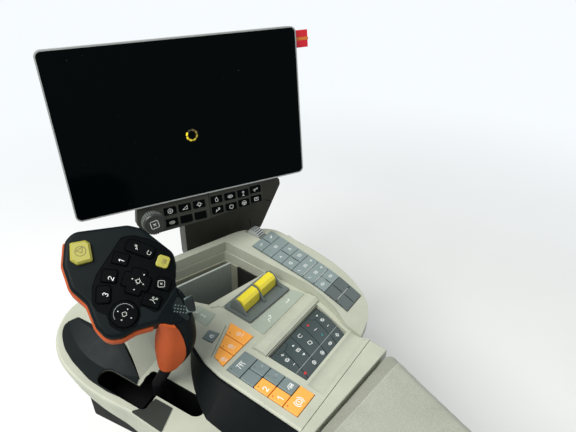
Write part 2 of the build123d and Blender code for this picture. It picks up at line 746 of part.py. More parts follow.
with BuildPart() as pod_shell:
    with BuildSketch(datum.offset(-120)):
        add(smooth(pod_outline, pod_bend))
    extrude(amount=180)
    with BuildSketch(side.offset(-150)):
        add(outline(hull_profile))
    extrude(amount=240, mode=Mode.INTERSECT)
    with BuildSketch(pod):
        Rectangle(600, 900)
    extrude(amount=200, mode=Mode.SUBTRACT)
    fillet(pod_shell.faces().sort_by(Axis(pod.origin, pod.z_dir))[-1].edges().filter_by(
        lambda e: e.center().X < datum_x - 15), pod_edge)
    add(pod_seam.part, mode=Mode.SUBTRACT)
    add(pod_hollow.part, mode=Mode.SUBTRACT)
    add(housing_room.part, mode=Mode.SUBTRACT)
    with BuildSketch(gate.offset(gate_low)):
        add(gate_slot.sketch)
    extrude(amount=100, mode=Mode.SUBTRACT)
pod_shell.part.label = "pod_shell"
export_step(pod_shell.part, "parts/pod_shell.step")

# Dark insert in the pod's top and the saddle beside it, ahead of the gate
insert_height = 1.5
insert_plan = [(-69, 200), (-82, 190), (-92, 172), (-97, 150), (-99, 118), (-95, 92), (-88, 70),
               (-62, 76), (-48.7, 104), (-57.7, 190)]
saddle_z = 14
saddle_low = [(-57.7, 190), (-48.7, 104), (-61, 78), (-28, 84), (13, 106), (29, 194)]
saddle_high = [(-57.7, 188), (-48.7, 118), (-44, 118), (-20, 119), (16, 121), (28, 188)]
saddle_edge = 4
slope_low = [(-67, 199), (-85, 146), (-61.3, 78), (-49, 104), (-58, 190)]
slope_high = [(-60, 189), (-58.5, 150), (-50, 117.5), (-49, 118), (-58, 188)]


def slope_section(points):
    """Plan of the slope beside the saddle: an arc through the first three points, then straight."""
    with BuildSketch() as shape:
        with BuildLine():
            ThreePointArc(*points[:3])
            Polyline(*points[2:], points[0])
        make_face()
    return shape.sketch



with BuildPart() as saddle:
    with BuildSketch(pod):
        add(outline(pod_local(saddle_low)))
    with BuildSketch(datum.offset(saddle_z)):
        add(outline(saddle_high))
    loft(ruled=True)
    fillet(saddle.faces().sort_by(Axis.Z)[-1].edges().sort_by(Axis.Y)[1:3], saddle_edge)
saddle.part.label = "saddle"
export_step(saddle.part, "parts/saddle.step")

with BuildPart() as pod_insert:
    with BuildSketch(pod):
        add(smooth(pod_local(insert_plan), 60))
    extrude(amount=insert_height)
    with BuildSketch(pod):
        add(slope_section(pod_local(slope_low)))
    with BuildSketch(datum.offset(saddle_z)):
        add(slope_section(slope_high))
    loft(ruled=True)
    with BuildSketch(gate.offset(-60)):
        add(gate_slot.sketch)
    extrude(amount=120, mode=Mode.SUBTRACT)
    add(saddle.part, mode=Mode.SUBTRACT)
pod_insert.part.label = "pod_insert"
export_step(pod_insert.part, "parts/pod_insert.step")

# Dark patch behind the gate
patch_plan = [(-66, 47.5), (-61.5, 26), (-88, 15.5), (-93.5, 56), (-80, 48.5)]
with BuildPart() as pod_patch:
    with BuildSketch(pod):
        add(outline(pod_local(patch_plan), 1))
    extrude(amount=insert_height)
    with BuildSketch(gate.offset(-60)):
        add(gate_slot.sketch)
    extrude(amount=120, mode=Mode.SUBTRACT)
pod_patch.part.label = "pod_patch"
export_step(pod_patch.part, "parts/pod_patch.step")

# Side panel: the dark flank from the deck's left rim down to the pod
with BuildPart() as side_panel:
    for z, rear_x, side_x, bow_x, bow_y in ((-2, -14, -14, -10, 30), (-50, -34, -68, -50, 26)):
        with BuildSketch(datum.offset(z)):
            with BuildLine():
                Line((-11.3, -110), (rear_x, -110))
                Line((rear_x, -110), (side_x, -10))
                ThreePointArc((side_x, -10), (bow_x, bow_y), (3, 61))
                Line((3, 61), (5.7, 62))
                Line((5.7, 62), (-7.3, 27))
                Line((-7.3, 27), (-11.3, 0))
                Line((-11.3, 0), (-11.3, -110))
            make_face()
    loft(ruled=True)
    with BuildSketch(pod):
        Rectangle(600, 900)
    extrude(amount=-200, mode=Mode.SUBTRACT)
side_panel.part.label = "side_panel"
export_step(side_panel.part, "parts/side_panel.step")

# Frames of the lever. The face of its head looks at the operator: x right, y up the face
head_turn = 31       # of the face, to the left
head_lean = 55       # of the face's normal, up
head_x = -52
head_y = 88
head_z = 128
grip_x = -42
grip_y = 55
head_dir = (-cos(radians(head_lean)) * sin(radians(head_turn)),
            -cos(radians(head_lean)) * cos(radians(head_turn)), sin(radians(head_lean)))
face = Plane(origin=(datum_x + head_x, datum_y + head_y, deck_z + head_z),
             x_dir=(cos(radians(head_turn)), -sin(radians(head_turn)), 0), z_dir=head_dir)
grip = Plane(origin=(datum_x + grip_x, datum_y + grip_y, deck_z), x_dir=face.x_dir, z_dir=(0, 0, 1))
grip_side = Plane(origin=grip.origin, x_dir=grip.x_dir, z_dir=-grip.y_dir)

# Flank: the facet on the head's lower right, x down along its crease, y outwards
flank_turn = 44.1
flank_drop = 22
flank_along = -face.x_dir * cos(radians(flank_turn)) - face.y_dir * sin(radians(flank_turn))
flank_out = face.x_dir * sin(radians(flank_turn)) - face.y_dir * cos(radians(flank_turn))
flank = Plane(origin=face.from_local_coords((40, -33.4, 0)), x_dir=flank_along,
              z_dir=face.z_dir * cos(radians(flank_drop)) + flank_out * sin(radians(flank_drop)))

# Lever: a stalk with its hub on the hinge pin, bent to the grip above the gate
stalk_radius = 7
bend_z = -14
collar_x = 5
collar_y = -5
collar_z = 14
spigot_radius = 5
spigot_height = 18
with BuildPart() as lever_stalk:
    with BuildSketch(gate.offset(pivot_z)):
        Circle(stalk_radius)
    extrude(amount=bend_z - pivot_z)
    with BuildSketch(gate.offset(bend_z)):
        Circle(stalk_radius)
    with BuildSketch(grip.offset(collar_z - seat_gap)):
        with Locations((collar_x, collar_y)):
            Circle(stalk_radius)
    loft()
    with BuildSketch(grip.offset(collar_z - seat_gap)):
        with Locations((collar_x, collar_y)):
            Circle(spigot_radius)
    extrude(amount=spigot_height)
    with BuildSketch(hinge.offset(-hub_width / 2)):
        Circle(pivot_hub)
    extrude(amount=hub_width)
    with BuildSketch(hinge.offset(-hub_width / 2)):
        Circle(pivot_pin + pin_gap)
    extrude(amount=hub_width, mode=Mode.SUBTRACT)
lever_stalk.part.label = "lever_stalk"
export_step(lever_stalk.part, "parts/lever_stalk.step")

# Lever head: a thick plate behind the face
head_thickness = 30
head_outline = [(-45, 53), (-35, 61), (18, 57), (32, 50), (57, 16), (57, 2), (52, -14), (51.5, -28),
                (57.5, -44), (50, -57, 8), (25, -53), (3, -53), (-11, -57), (-24, -55), (-32, -41),
                (-36, -16), (-48, 2), (-51, 28)]
head_corner = 14
head_edge = 5
button_depth = 2.5
button_proud = 1.8
button_edge = 1

# Black field round the buttons
field_outline = [(9, 44), (21, 43.5), (36, 36), (51, 22), (55, 11), (54, -9), (50, -20), (39, -32),
                 (29.5, -41), (25, -42), (11.5, -29.5), (11.5, -40), (5, -50), (-10, -52), (-19, -43),
                 (-20, -32), (-27.5, -26), (-31, -17), (-28, -1), (-22, 10.5), (-9, 24.5)]
field_corner = 5
field_depth = 4
field_sunk = 0.6

# Buttons on the head's face: x, y, width, height, turn, corner radius
buttons = [(4, 21, 16, 13, -28, 2), (-10, 6, 15, 14, -20, 2), (-19, -11, 14, 18, -12, 3),
           (25, 27, 30, 14, -34, 4), (39, -15, 15, 13, -30, 2), (24, -29, 18, 13, -32, 2)]
cross_pad = [(14, -6, 28, 16, -30, 3), (14, -6, 16, 28, -30, 3)]
round_pad = (-4, -35, 13.5)
yellow_button = (44, 8, 13, 13, -32, 3)
stop_corners = [(-40, 48), (-25, 47.5), (-21.5, 43.5), (-22, 25), (-37, 24), (-42.5, 30)]


def button(x, y, width, height, turn, corner, gap=0):
    """Plan of a button, grown by a gap."""
    with BuildSketch() as shape:
        with Locations(Location((x, y), turn)):
            RectangleRounded(width + 2 * gap, height + 2 * gap, corner)
    return shape.sketch


with BuildPart() as lever_head:
    with BuildSketch(face.offset(-head_thickness)):
        add(smooth(head_outline, head_corner))
    extrude(amount=head_thickness)
    fillet(lever_head.faces().sort_by(Axis(face.origin, face.z_dir))[-1].edges(), head_edge)
    with BuildSketch(flank):
        Rectangle(300, 300)
    extrude(amount=100, mode=Mode.SUBTRACT)
    with BuildSketch(face.offset(-field_depth)):
        add(smooth(field_outline, field_corner))
    extrude(amount=20, mode=Mode.SUBTRACT)
    with BuildSketch(face.offset(-button_depth)):
        offset(outline(stop_corners, 2), amount=key_gap)
    extrude(amount=20, mode=Mode.SUBTRACT)
lever_head.part.label = "lever_head"
export_step(lever_head.part, "parts/lever_head.step")

with BuildPart() as button_field:
    with BuildSketch(face.offset(-field_depth)):
        offset(smooth(field_outline, field_corner), amount=-seat_gap)
    extrude(amount=field_depth - field_sunk)
    with BuildSketch(face.offset(-button_depth)):
        for row in buttons + cross_pad + [yellow_button]:
            add(button(*row, gap=key_gap))
        with Locations(round_pad[:2]):
            Circle(round_pad[2] + key_gap)
    extrude(amount=20, mode=Mode.SUBTRACT)
button_field.part.label = "button_field"
export_step(button_field.part, "parts/button_field.step")

# Orange trim band round the left and lower edges of the head
trim_proud = 2
trim_low = -26
trim_high = -7
trim_reach = [(-70, 52), (-40, 52), (0, 0), (20, -52), (20, -80), (-70, -80)]
with BuildPart() as head_trim:
    with BuildSketch(face.offset(trim_low)):
        offset(smooth(head_outline, head_corner), amount=trim_proud)
        add(smooth(head_outline, head_corner), mode=Mode.SUBTRACT)
        add(outline(trim_reach), mode=Mode.INTERSECT)
    extrude(amount=trim_high - trim_low)
head_trim.part.label = "head_trim"
export_step(head_trim.part, "parts/head_trim.step")

with BuildPart() as lever_buttons:
    with BuildSketch(face.offset(-button_depth)):
        for row in buttons + cross_pad:
            add(button(*row))
        with Locations(round_pad[:2]):
            Circle(round_pad[2])
    extrude(amount=button_depth + button_proud)
    chamfer(lever_buttons.faces().group_by(Axis(face.origin, face.z_dir))[-1].edges(), button_edge)
lever_buttons.part.label = "lever_buttons"
export_step(lever_buttons.part, "parts/lever_buttons.step")

stop_proud = 5
with BuildPart() as stop_button:
    with BuildSketch(face.offset(-button_depth)):
        add(outline(stop_corners, 2))
    extrude(amount=button_depth + stop_proud)
    chamfer(stop_button.faces().sort_by(Axis(face.origin, face.z_dir))[-1].edges(), 2)
stop_button.part.label = "stop_button"
export_step(stop_button.part, "parts/stop_button.step")

with BuildPart() as resume_button:
    with BuildSketch(face.offset(-button_depth)):
        add(button(*yellow_button))
    extrude(amount=button_depth + button_proud)
    fillet(resume_button.faces().sort_by(Axis(face.origin, face.z_dir))[-1].edges(), button_edge)
resume_button.part.label = "resume_button"
export_step(resume_button.part, "parts/resume_button.step")

# Room that the head and its trim take from the grip
with BuildPart() as head_room:
    with BuildSketch(face.offset(-head_thickness - seat_gap)):
        offset(smooth(head_outline, head_corner), amount=seat_gap)
    extrude(amount=100)
    with BuildSketch(face.offset(trim_low - seat_gap)):
        offset(smooth(head_outline, head_corner), amount=trim_proud + seat_gap)
        offset(outline(trim_reach), amount=seat_gap, mode=Mode.INTERSECT)
    extrude(amount=trim_high - trim_low + 2 * seat_gap)
    with BuildSketch(face.offset(-button_depth)):
        Rectangle(300, 300)
    extrude(amount=100)
    with BuildSketch(flank):
        Rectangle(300, 300)
    extrude(amount=100)
    with BuildSketch(grip.offset(collar_z - 1)):
        with Locations((collar_x, collar_y)):
            Circle(spigot_radius + seat_gap)
    extrude(amount=spigot_height + 1)

# Grip: rounded sections from the collar up into the head
# Each section: height, x and y of its centre, width, depth
grip_sections = [(collar_z, collar_x, collar_y, 18, 18), (22, 9, -5, 27, 24), (31, 12.5, -5, 34, 27),
                 (45, 16, -5, 40, 30), (68, 19.5, -4, 38, 31), (90, 18, -4, 36, 32),
                 (112, 12, -3, 34, 33)]
pad_thickness = 2.5
pad_reach = [(2, 104), (9, 99), (15, 89), (19, 79), (22, 66), (23, 54), (22.5, 42), (19.5, 33),
             (14, 25), (8, 17.5), (-30, 17.5), (-30, 104)]


def grip_section(width, depth, grow):
    """Rounded plan section of the grip."""
    with BuildSketch() as shape:
        RectangleRounded(width + 2 * grow, depth + 2 * grow, 0.42 * min(width, depth) + grow)
    return shape.sketch


with BuildPart() as lever_grip:
    for z, x, y, width, depth in grip_sections:
        with BuildSketch(grip.offset(z)):
            with Locations((x, y)):
                add(grip_section(width, depth, 0))
    loft()
    add(head_room.part, mode=Mode.SUBTRACT)
lever_grip.part.label = "lever_grip"
export_step(lever_grip.part, "parts/lever_grip.step")

# Small controls beside the flank's crease: a knurled plate, and a rocker on the grip's right side
flank_plate = [(-8.5, 5.4), (-8, 11.5), (2.3, 29), (6.2, 29), (5.3, 12.5), (3.4, 6.6)]
flank_proud = 0.8
knurl_pitch = 3.2
knurl_size = 1.2
rocker_length = 17
rocker_width = 10
rocker_out = 10
rocker_turn = 56
rocker = Plane(origin=grip.from_local_coords((30, -5, 97)), z_dir=grip.x_dir,
               x_dir=grip.y_dir * cos(radians(rocker_turn)) + grip.z_dir * sin(radians(rocker_turn)))
with BuildPart() as side_buttons:
    with BuildSketch(rocker):
        RectangleRounded(rocker_length, rocker_width, 4)
    extrude(amount=rocker_out)
    fillet(side_buttons.faces().sort_by(Axis(rocker.origin, rocker.z_dir))[-1].edges(), 2)
    add(lever_grip.part, mode=Mode.SUBTRACT)
    add(lever_head.part, mode=Mode.SUBTRACT)
    with BuildSketch(flank):
        add(outline(flank_plate, 1.5))
    extrude(amount=flank_proud)
    with BuildSketch(flank.offset(flank_proud)):
        with Locations(Location((0, 15.5), 25)):
            with GridLocations(knurl_pitch, knurl_pitch, 3, 5):
                Rectangle(knurl_size, knurl_size)
    extrude(amount=flank_proud)
side_buttons.part.label = "side_buttons"
export_step(side_buttons.part, "parts/side_buttons.step")

with BuildPart() as palm_pad:
    for z, x, y, width, depth in grip_sections:
        with BuildSketch(grip.offset(z)):
            with Locations((x, y)):
                add(grip_section(width, depth, pad_thickness))
    loft()
    with BuildSketch(grip_side.offset(-2)):
        add(smooth(pad_reach, 12))
    extrude(amount=60, mode=Mode.INTERSECT)
    for z, x, y, width, depth in grip_sections:
        with BuildSketch(grip.offset(z)):
            with Locations((x, y)):
                add(grip_section(width, depth, 0))
    loft(mode=Mode.SUBTRACT)
    add(head_room.part, mode=Mode.SUBTRACT)
palm_pad.part.label = "palm_pad"
export_step(palm_pad.part, "parts/palm_pad.step")

# Display, in its own frame: x along its width, y up the screen, z out of the screen
display_turn = 27.3
display_lean = 12.5
display_x = 140.1
display_y = 174.1
display_z = 208.7
display_width = 314
display_height = 200
display_corner = 8
glass_thickness = 3
rim_width = 1.6
housing_depth = 14
back_width = 220
back_height = 130
back_depth = 28
back_vents = 9
vent_width = 3
vent_depth = 1.5
along = (cos(radians(display_turn)), -sin(radians(display_turn)), 0)
ahead = (sin(radians(display_turn)), cos(radians(display_turn)), 0)
screen = Plane(origin=(datum_x + display_x, datum_y + display_y, deck_z + display_z), x_dir=along,
               z_dir=(-ahead[0] * cos(radians(display_lean)), -ahead[1] * cos(radians(display_lean)),
                      sin(radians(display_lean))))

# Tilt hinge behind the display
tilt_pin = 5
tilt_ear = 10
tilt_back = 43
lug_width = 20
tilt = Plane(origin=screen.from_local_coords((0, 0, -tilt_back)), x_dir=screen.y_dir, z_dir=screen.x_dir)

with BuildPart() as display_housing:
    with BuildSketch(screen.offset(-housing_depth)):
        RectangleRounded(display_width, display_height, display_corner)
    extrude(amount=housing_depth)
    with BuildSketch(screen.offset(-glass_thickness)):
        RectangleRounded(display_width - 2 * rim_width, display_height - 2 * rim_width,
                         display_corner - rim_width)
    extrude(amount=20, mode=Mode.SUBTRACT)
    with BuildSketch(screen.offset(-housing_depth)):
        RectangleRounded(back_width, back_height, 12)
    extrude(amount=housing_depth - back_depth, taper=20)
    with BuildSketch(screen.offset(vent_depth - back_depth)):
        with Locations((-0.29 * back_width, 0), (0.29 * back_width, 0)):
            with GridLocations(0, 8, 1, back_vents):
                SlotOverall(0.25 * back_width, vent_width)
    extrude(amount=-20, mode=Mode.SUBTRACT)
    with BuildSketch(tilt.offset(-lug_width / 2)):
        Circle(tilt_ear)
        with Locations((0, (tilt_back - back_depth) / 2)):
            Rectangle(2 * tilt_ear, tilt_back - back_depth)
        Circle(tilt_pin + pin_gap, mode=Mode.SUBTRACT)
    extrude(amount=lug_width)
display_housing.part.label = "display_housing"
export_step(display_housing.part, "parts/display_housing.step")

with BuildPart() as display_glass:
    with BuildSketch(screen.offset(-glass_thickness)):
        RectangleRounded(display_width - 2 * rim_width - 2 * seat_gap,
                         display_height - 2 * rim_width - 2 * seat_gap, display_corner - rim_width)
    extrude(amount=glass_thickness)
display_glass.part.label = "display_glass"
export_step(display_glass.part, "parts/display_glass.step")

# Pull tab on the display's right edge
with BuildPart() as pull_tab:
    with BuildSketch(screen.offset(-6)):
        with Locations((display_width / 2 + 10, display_height / 2 - 17)):
            Rectangle(19.4, 22)
    extrude(amount=1)
pull_tab.part.label = "pull_tab"
export_step(pull_tab.part, "parts/pull_tab.step")

# Button bar under the display, with its knob at the left end
bar_front = -4
bar_thickness = 14
bar_top = -display_height / 2 - seat_gap
bar_edge = -display_height / 2
bar_corners = [(-84, bar_top), (90, bar_top), (91, bar_edge - 29), (4, bar_edge - 39),
               (-62, bar_edge - 41), (-88, bar_edge - 24)]
divider_x = 11.5
divider_width = 1
nav_knob_x = -68
nav_knob_y = bar_edge - 22
knob_ribs = 30
nav_knob_radius = 14.6
nav_knob_height = 13
nav_key_width = 16
nav_key_height = 10
nav_key_depth = 2
nav_key_proud = 1
nav_key_rows = [(-43, -14), (-23, -14), (-3, -14), (-43, -30.5), (-23, -30.5), (-3, -30.5),
                (22, -13), (42, -13), (61.5, -13), (80.5, -11.5),
                (22, -28.5), (42, -28.5), (61.5, -27.5), (80.5, -26)]
nav_key_places = [(x, bar_edge + y) for x, y in nav_key_rows]

with BuildPart() as nav_bar:
    with BuildSketch(screen.offset(bar_front - bar_thickness)):
        add(outline(bar_corners, 3))
        with Locations((nav_knob_x, nav_knob_y)):
            Circle(nav_knob_radius + 4)
        with Locations((0, bar_top)):
            Rectangle(400, 60, align=(Align.CENTER, Align.MIN), mode=Mode.SUBTRACT)
    extrude(amount=bar_thickness)
    with BuildSketch(screen.offset(bar_front - nav_key_depth)):
        with Locations(*nav_key_places):
            RectangleRounded(nav_key_width + 2 * key_gap, nav_key_height + 2 * key_gap, 1)
        with Locations((divider_x, bar_top)):
            Rectangle(divider_width, 60, align=(Align.CENTER, Align.MAX))
    extrude(amount=20, mode=Mode.SUBTRACT)
nav_bar.part.label = "nav_bar"
export_step(nav_bar.part, "parts/nav_bar.step")

with BuildPart() as nav_keys:
    with BuildSketch(screen.offset(bar_front - nav_key_depth)):
        with Locations(*nav_key_places):
            RectangleRounded(nav_key_width, nav_key_height, 1)
    extrude(amount=nav_key_depth + nav_key_proud)
nav_keys.part.label = "nav_keys"
export_step(nav_keys.part, "parts/nav_keys.step")

with BuildPart() as nav_knob:
    with BuildSketch(screen.offset(bar_front)):
        with Locations((nav_knob_x, nav_knob_y)):
            Circle(nav_knob_radius)
            with PolarLocations(nav_knob_radius, knob_ribs):
                Rectangle(1.8, 1, mode=Mode.SUBTRACT)
    extrude(amount=nav_knob_height)
    with BuildSketch(screen.offset(bar_front + nav_knob_height)):
        with Locations((nav_knob_x, nav_knob_y)):
            Circle(nav_knob_radius - 0.9)
    extrude(amount=1.5, taper=40)
nav_knob.part.label = "nav_knob"
export_step(nav_knob.part, "parts/nav_knob.step")

# Neck: the upright that carries the display and swivels on a pin in the foot
neck_back = 37       # of its front face behind the display's lower edge
neck_thickness = 33
neck_top = 86
neck_low = -92
swivel_along = 30
swivel_radius = 10
swivel_high = -60
foot_thickness = 8
foot_corners = [(90, 90), (190, 90), (200, 150), (207, 187), (196, 206), (165, 208), (152, 196),
                (120, 150)]
neck_corners = [(0, neck_low), (62, neck_low), (78, -45), (90, -22), (107, 4), (138, 74), (136, neck_top),
                (-17, neck_top), (-17, -30), (-8, -70)]
neck_seams = [[(85, 21), (86, 22), (93, -7), (92, -8)], [(111, 51), (112, 52), (126, 46), (125, 45)]]
neck_base = screen.from_local_coords((0, -display_height / 2, 0))
neck = Plane(origin=(neck_base.X + ahead[0] * neck_back, neck_base.Y + ahead[1] * neck_back, deck_z),
             x_dir=along, z_dir=(-ahead[0], -ahead[1], 0))
swivel = Plane(origin=neck.from_local_coords((swivel_along, 0, -neck_thickness / 2)), x_dir=along,
               z_dir=(0, 0, 1))
arm_half_width = 16
arm_front = 18
ear_gap = 0.5
ear_width = 8

with BuildPart() as neck_cover:
    with BuildSketch(neck.offset(-neck_thickness)):
        add(outline(neck_corners, 6))
    extrude(amount=neck_thickness)
    with BuildSketch(swivel.offset(neck_low - 1)):
        Circle(swivel_radius + pin_gap)
    extrude(amount=swivel_high - neck_low + 2, mode=Mode.SUBTRACT)
    with BuildSketch(neck.offset(-groove_depth)):
        for corners in neck_seams:
            add(outline(corners))
    extrude(amount=groove_depth, mode=Mode.SUBTRACT)
neck_cover.part.label = "neck_cover"
export_step(neck_cover.part, "parts/neck_cover.step")

# Display arm: from the neck's top up to the two ears of the tilt hinge
arm_height = tilt.origin.Z - deck_z
ear_out = lug_width / 2 + ear_gap + ear_width
tilt_depth = -neck.to_local_coords(tilt.origin).Z
with BuildPart() as display_arm:
    with BuildSketch(neck):
        add(outline([(-ear_out, neck_top), (ear_out, neck_top), (ear_out, arm_height),
                     (-ear_out, arm_height)]))
    extrude(amount=-tilt_depth - tilt_ear)
    with BuildSketch(neck):
        add(outline([(-100, neck_top), (100, neck_top), (100, arm_height + 30), (-100, arm_height + 30)]))
    extrude(amount=tilt_ear - tilt_depth, mode=Mode.SUBTRACT)
    with BuildSketch(tilt.offset(-ear_out)):
        Circle(tilt_ear)
    extrude(amount=2 * ear_out)
    with BuildSketch(tilt.offset(-lug_width / 2 - ear_gap)):
        Circle(tilt_ear + 6)
        Circle(tilt_pin, mode=Mode.SUBTRACT)
    extrude(amount=lug_width + 2 * ear_gap, mode=Mode.SUBTRACT)
display_arm.part.label = "display_arm"
export_step(display_arm.part, "parts/display_arm.step")

# Display foot: a plate under the lower shell, with the swivel pin
with BuildPart() as display_foot:
    with BuildSketch(datum.offset(-shell_depth - foot_thickness)):
        add(outline(foot_corners, 8))
    extrude(amount=foot_thickness)
    with BuildSketch(swivel.offset(-shell_depth)):
        Circle(swivel_radius)
    extrude(amount=swivel_high + shell_depth)
    with BuildSketch(swivel.offset(-shell_depth)):
        Circle(swivel_radius + 5)
    extrude(amount=neck_low - slide_gap + shell_depth)
display_foot.part.label = "display_foot"
export_step(display_foot.part, "parts/display_foot.step")
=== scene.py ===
import math

import bmesh
import bpy
from mathutils import Matrix, Vector


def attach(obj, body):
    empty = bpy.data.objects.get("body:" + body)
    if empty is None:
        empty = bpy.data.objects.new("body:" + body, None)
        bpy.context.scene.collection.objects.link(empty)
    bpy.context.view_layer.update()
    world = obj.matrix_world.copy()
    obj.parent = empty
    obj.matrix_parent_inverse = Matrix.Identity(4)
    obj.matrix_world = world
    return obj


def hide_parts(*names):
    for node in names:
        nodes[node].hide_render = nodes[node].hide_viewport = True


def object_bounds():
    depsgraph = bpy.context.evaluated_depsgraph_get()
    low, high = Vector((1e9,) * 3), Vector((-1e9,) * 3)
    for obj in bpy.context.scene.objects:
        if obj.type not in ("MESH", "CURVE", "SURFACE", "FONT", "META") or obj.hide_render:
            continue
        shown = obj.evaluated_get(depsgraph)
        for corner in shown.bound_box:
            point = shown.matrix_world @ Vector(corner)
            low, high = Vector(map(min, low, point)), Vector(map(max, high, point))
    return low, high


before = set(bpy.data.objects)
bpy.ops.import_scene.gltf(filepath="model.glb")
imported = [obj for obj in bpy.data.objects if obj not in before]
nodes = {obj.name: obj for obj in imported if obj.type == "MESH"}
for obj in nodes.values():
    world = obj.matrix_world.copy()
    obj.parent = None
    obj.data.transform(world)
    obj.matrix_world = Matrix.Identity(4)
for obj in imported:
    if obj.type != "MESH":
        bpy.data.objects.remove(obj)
cad_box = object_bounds()
scene = bpy.context.scene
MM = 0.001            # a millimetre, since the scene is in metres

# Camera at the photograph's place, solved from the display's corners and the key blocks
LENS, SENSOR = 30.625, 36
CAMERA_PLACE = Matrix(((0.5824, 0.4504, -0.6767, -0.2695), (-0.8122, 0.3580, -0.4606, -0.0032),
                       (0.0353, 0.8173, 0.5744, 0.6597), (0, 0, 0, 1)))
camera = bpy.data.objects.new("camera", bpy.data.cameras.new("camera"))
camera.data.lens = LENS
camera.data.sensor_width = SENSOR
camera.data.clip_start = 0.01
camera.data.clip_end = 50
camera.matrix_world = CAMERA_PLACE
scene.collection.objects.link(camera)
scene.camera = camera


# Surfaces of the part: each maps (u, v, height), in millimetres, to a point of the CAD frame
def flat(origin, x, n):
    """Surface of a plane with u along x and its normal n."""
    x, n = Vector(x).normalized(), Vector(n).normalized()
    y = n.cross(x)
    origin = Vector(origin)
    return lambda u, v, w=0: (origin + x * u + y * v + n * w) * MM


def facing(place, turn, lean):
    """Surface of a plane that is turned about the vertical and leans back, angles in degrees."""
    turn, lean = math.radians(turn), math.radians(lean)
    across = (math.cos(turn), -math.sin(turn), 0)
    return flat(place, across, (-math.cos(lean) * math.sin(turn), -math.cos(lean) * math.cos(turn),
                                math.sin(lean)))


DATUM = Vector((-10, 250, 190))       # front left corner of the left key block, on the deck
RIB_HEIGHT, RIB_ARCH, RIB_ARCH_START = 18, 315, 10
KEYPAD_ARCH = ((-27, -5), (-52, -1.5), (-81, -6))     # front, top and rear of its side view
deck = flat(DATUM, (1, 0, 0), (0, 0, 1))
face = facing(DATUM + Vector((-52, 88, 128)), 31, 55)
screen = facing(DATUM + Vector((140.1, 174.1, 208.7)), 27.3, 12.5)


def rib(u, v, w=0):
    """Top of the right rib: flat in front, arched down behind."""
    z = RIB_HEIGHT + w
    if v < RIB_ARCH_START:
        z = RIB_HEIGHT - RIB_ARCH + math.sqrt((RIB_ARCH + w) ** 2 - (RIB_ARCH_START - v) ** 2)
    return (DATUM + Vector((u, v, z))) * MM


def keypad(u, v, w=0):
    """Arched top of the centre keys: a circle through three points of its side view."""
    (ay, az), (by, bz), (cy, cz) = KEYPAD_ARCH
    d = 2 * (ay * (bz - cz) + by * (cz - az) + cy * (az - bz))
    oy = ((ay * ay + az * az) * (bz - cz) + (by * by + bz * bz) * (cz - az)
          + (cy * cy + cz * cz) * (az - bz)) / d
    oz = ((ay * ay + az * az) * (cy - by) + (by * by + bz * bz) * (ay - cy)
          + (cy * cy + cz * cz) * (by - ay)) / d
    radius = math.hypot(ay - oy, az - oz) + w
    return (DATUM + Vector((u, v, oz + math.sqrt(radius ** 2 - (v - oy) ** 2)))) * MM


# Materials
EDGE = 0.0002        # width of the edge of a tinted zone, in metres


def multiply(tree, first, second):
    """Product of two colours."""
    made = tree.nodes.new("ShaderNodeMix")
    made.data_type = "RGBA"
    made.blend_type = "MULTIPLY"
    made.inputs[0].default_value = 1
    tree.links.new(first, made.inputs[6])
    tree.links.new(second, made.inputs[7])
    return made.outputs[2]


def material(name):
    """New node material with its shader and the object coordinates."""
    made = bpy.data.materials.new(name)
    made.use_nodes = True
    tree = made.node_tree
    coords = tree.nodes.new("ShaderNodeTexCoord")
    return made, tree, tree.nodes["Principled BSDF"], coords.outputs["Object"]


def noise(tree, coords, scale, detail=2.0, rough=0.5):
    """Value of a cloudy noise, mostly from 0.3 to 0.7."""
    made = tree.nodes.new("ShaderNodeTexNoise")
    made.inputs["Scale"].default_value = scale
    made.inputs["Detail"].default_value = detail
    made.inputs["Roughness"].default_value = rough
    tree.links.new(coords, made.inputs["Vector"])
    return made.outputs["Fac"]


def ramp(tree, value, stops):
    """Colour of a value, through stops of place and colour."""
    made = tree.nodes.new("ShaderNodeValToRGB")
    elements = made.color_ramp.elements
    for element, (place, colour) in zip(elements, stops):
        element.position, element.color = place, (*colour, 1)
    for place, colour in stops[2:]:
        elements.new(place).color = (*colour, 1)
    tree.links.new(value, made.inputs["Fac"])
    return made.outputs["Color"]


def spread(tree, value, low, high):
    """A noise's usual range of 0.3 to 0.7, spread from low to high."""
    made = tree.nodes.new("ShaderNodeMapRange")
    made.inputs["From Min"].default_value = 0.3
    made.inputs["From Max"].default_value = 0.7
    made.inputs["To Min"].default_value = low
    made.inputs["To Max"].default_value = high
    tree.links.new(value, made.inputs["Value"])
    return made.outputs["Result"]


def bump(tree, value, strength, distance, normal=None):
    """Normal bent by a value, on top of another normal if one is given."""
    made = tree.nodes.new("ShaderNodeBump")
    made.inputs["Strength"].default_value = strength
    made.inputs["Distance"].default_value = distance
    tree.links.new(value, made.inputs["Height"])
    if normal:
        tree.links.new(normal, made.inputs["Normal"])
    return made.outputs["Normal"]


def shade(colour, factor):
    """Colour made lighter or darker, held under full white."""
    return tuple(min(1, c * factor) for c in colour)


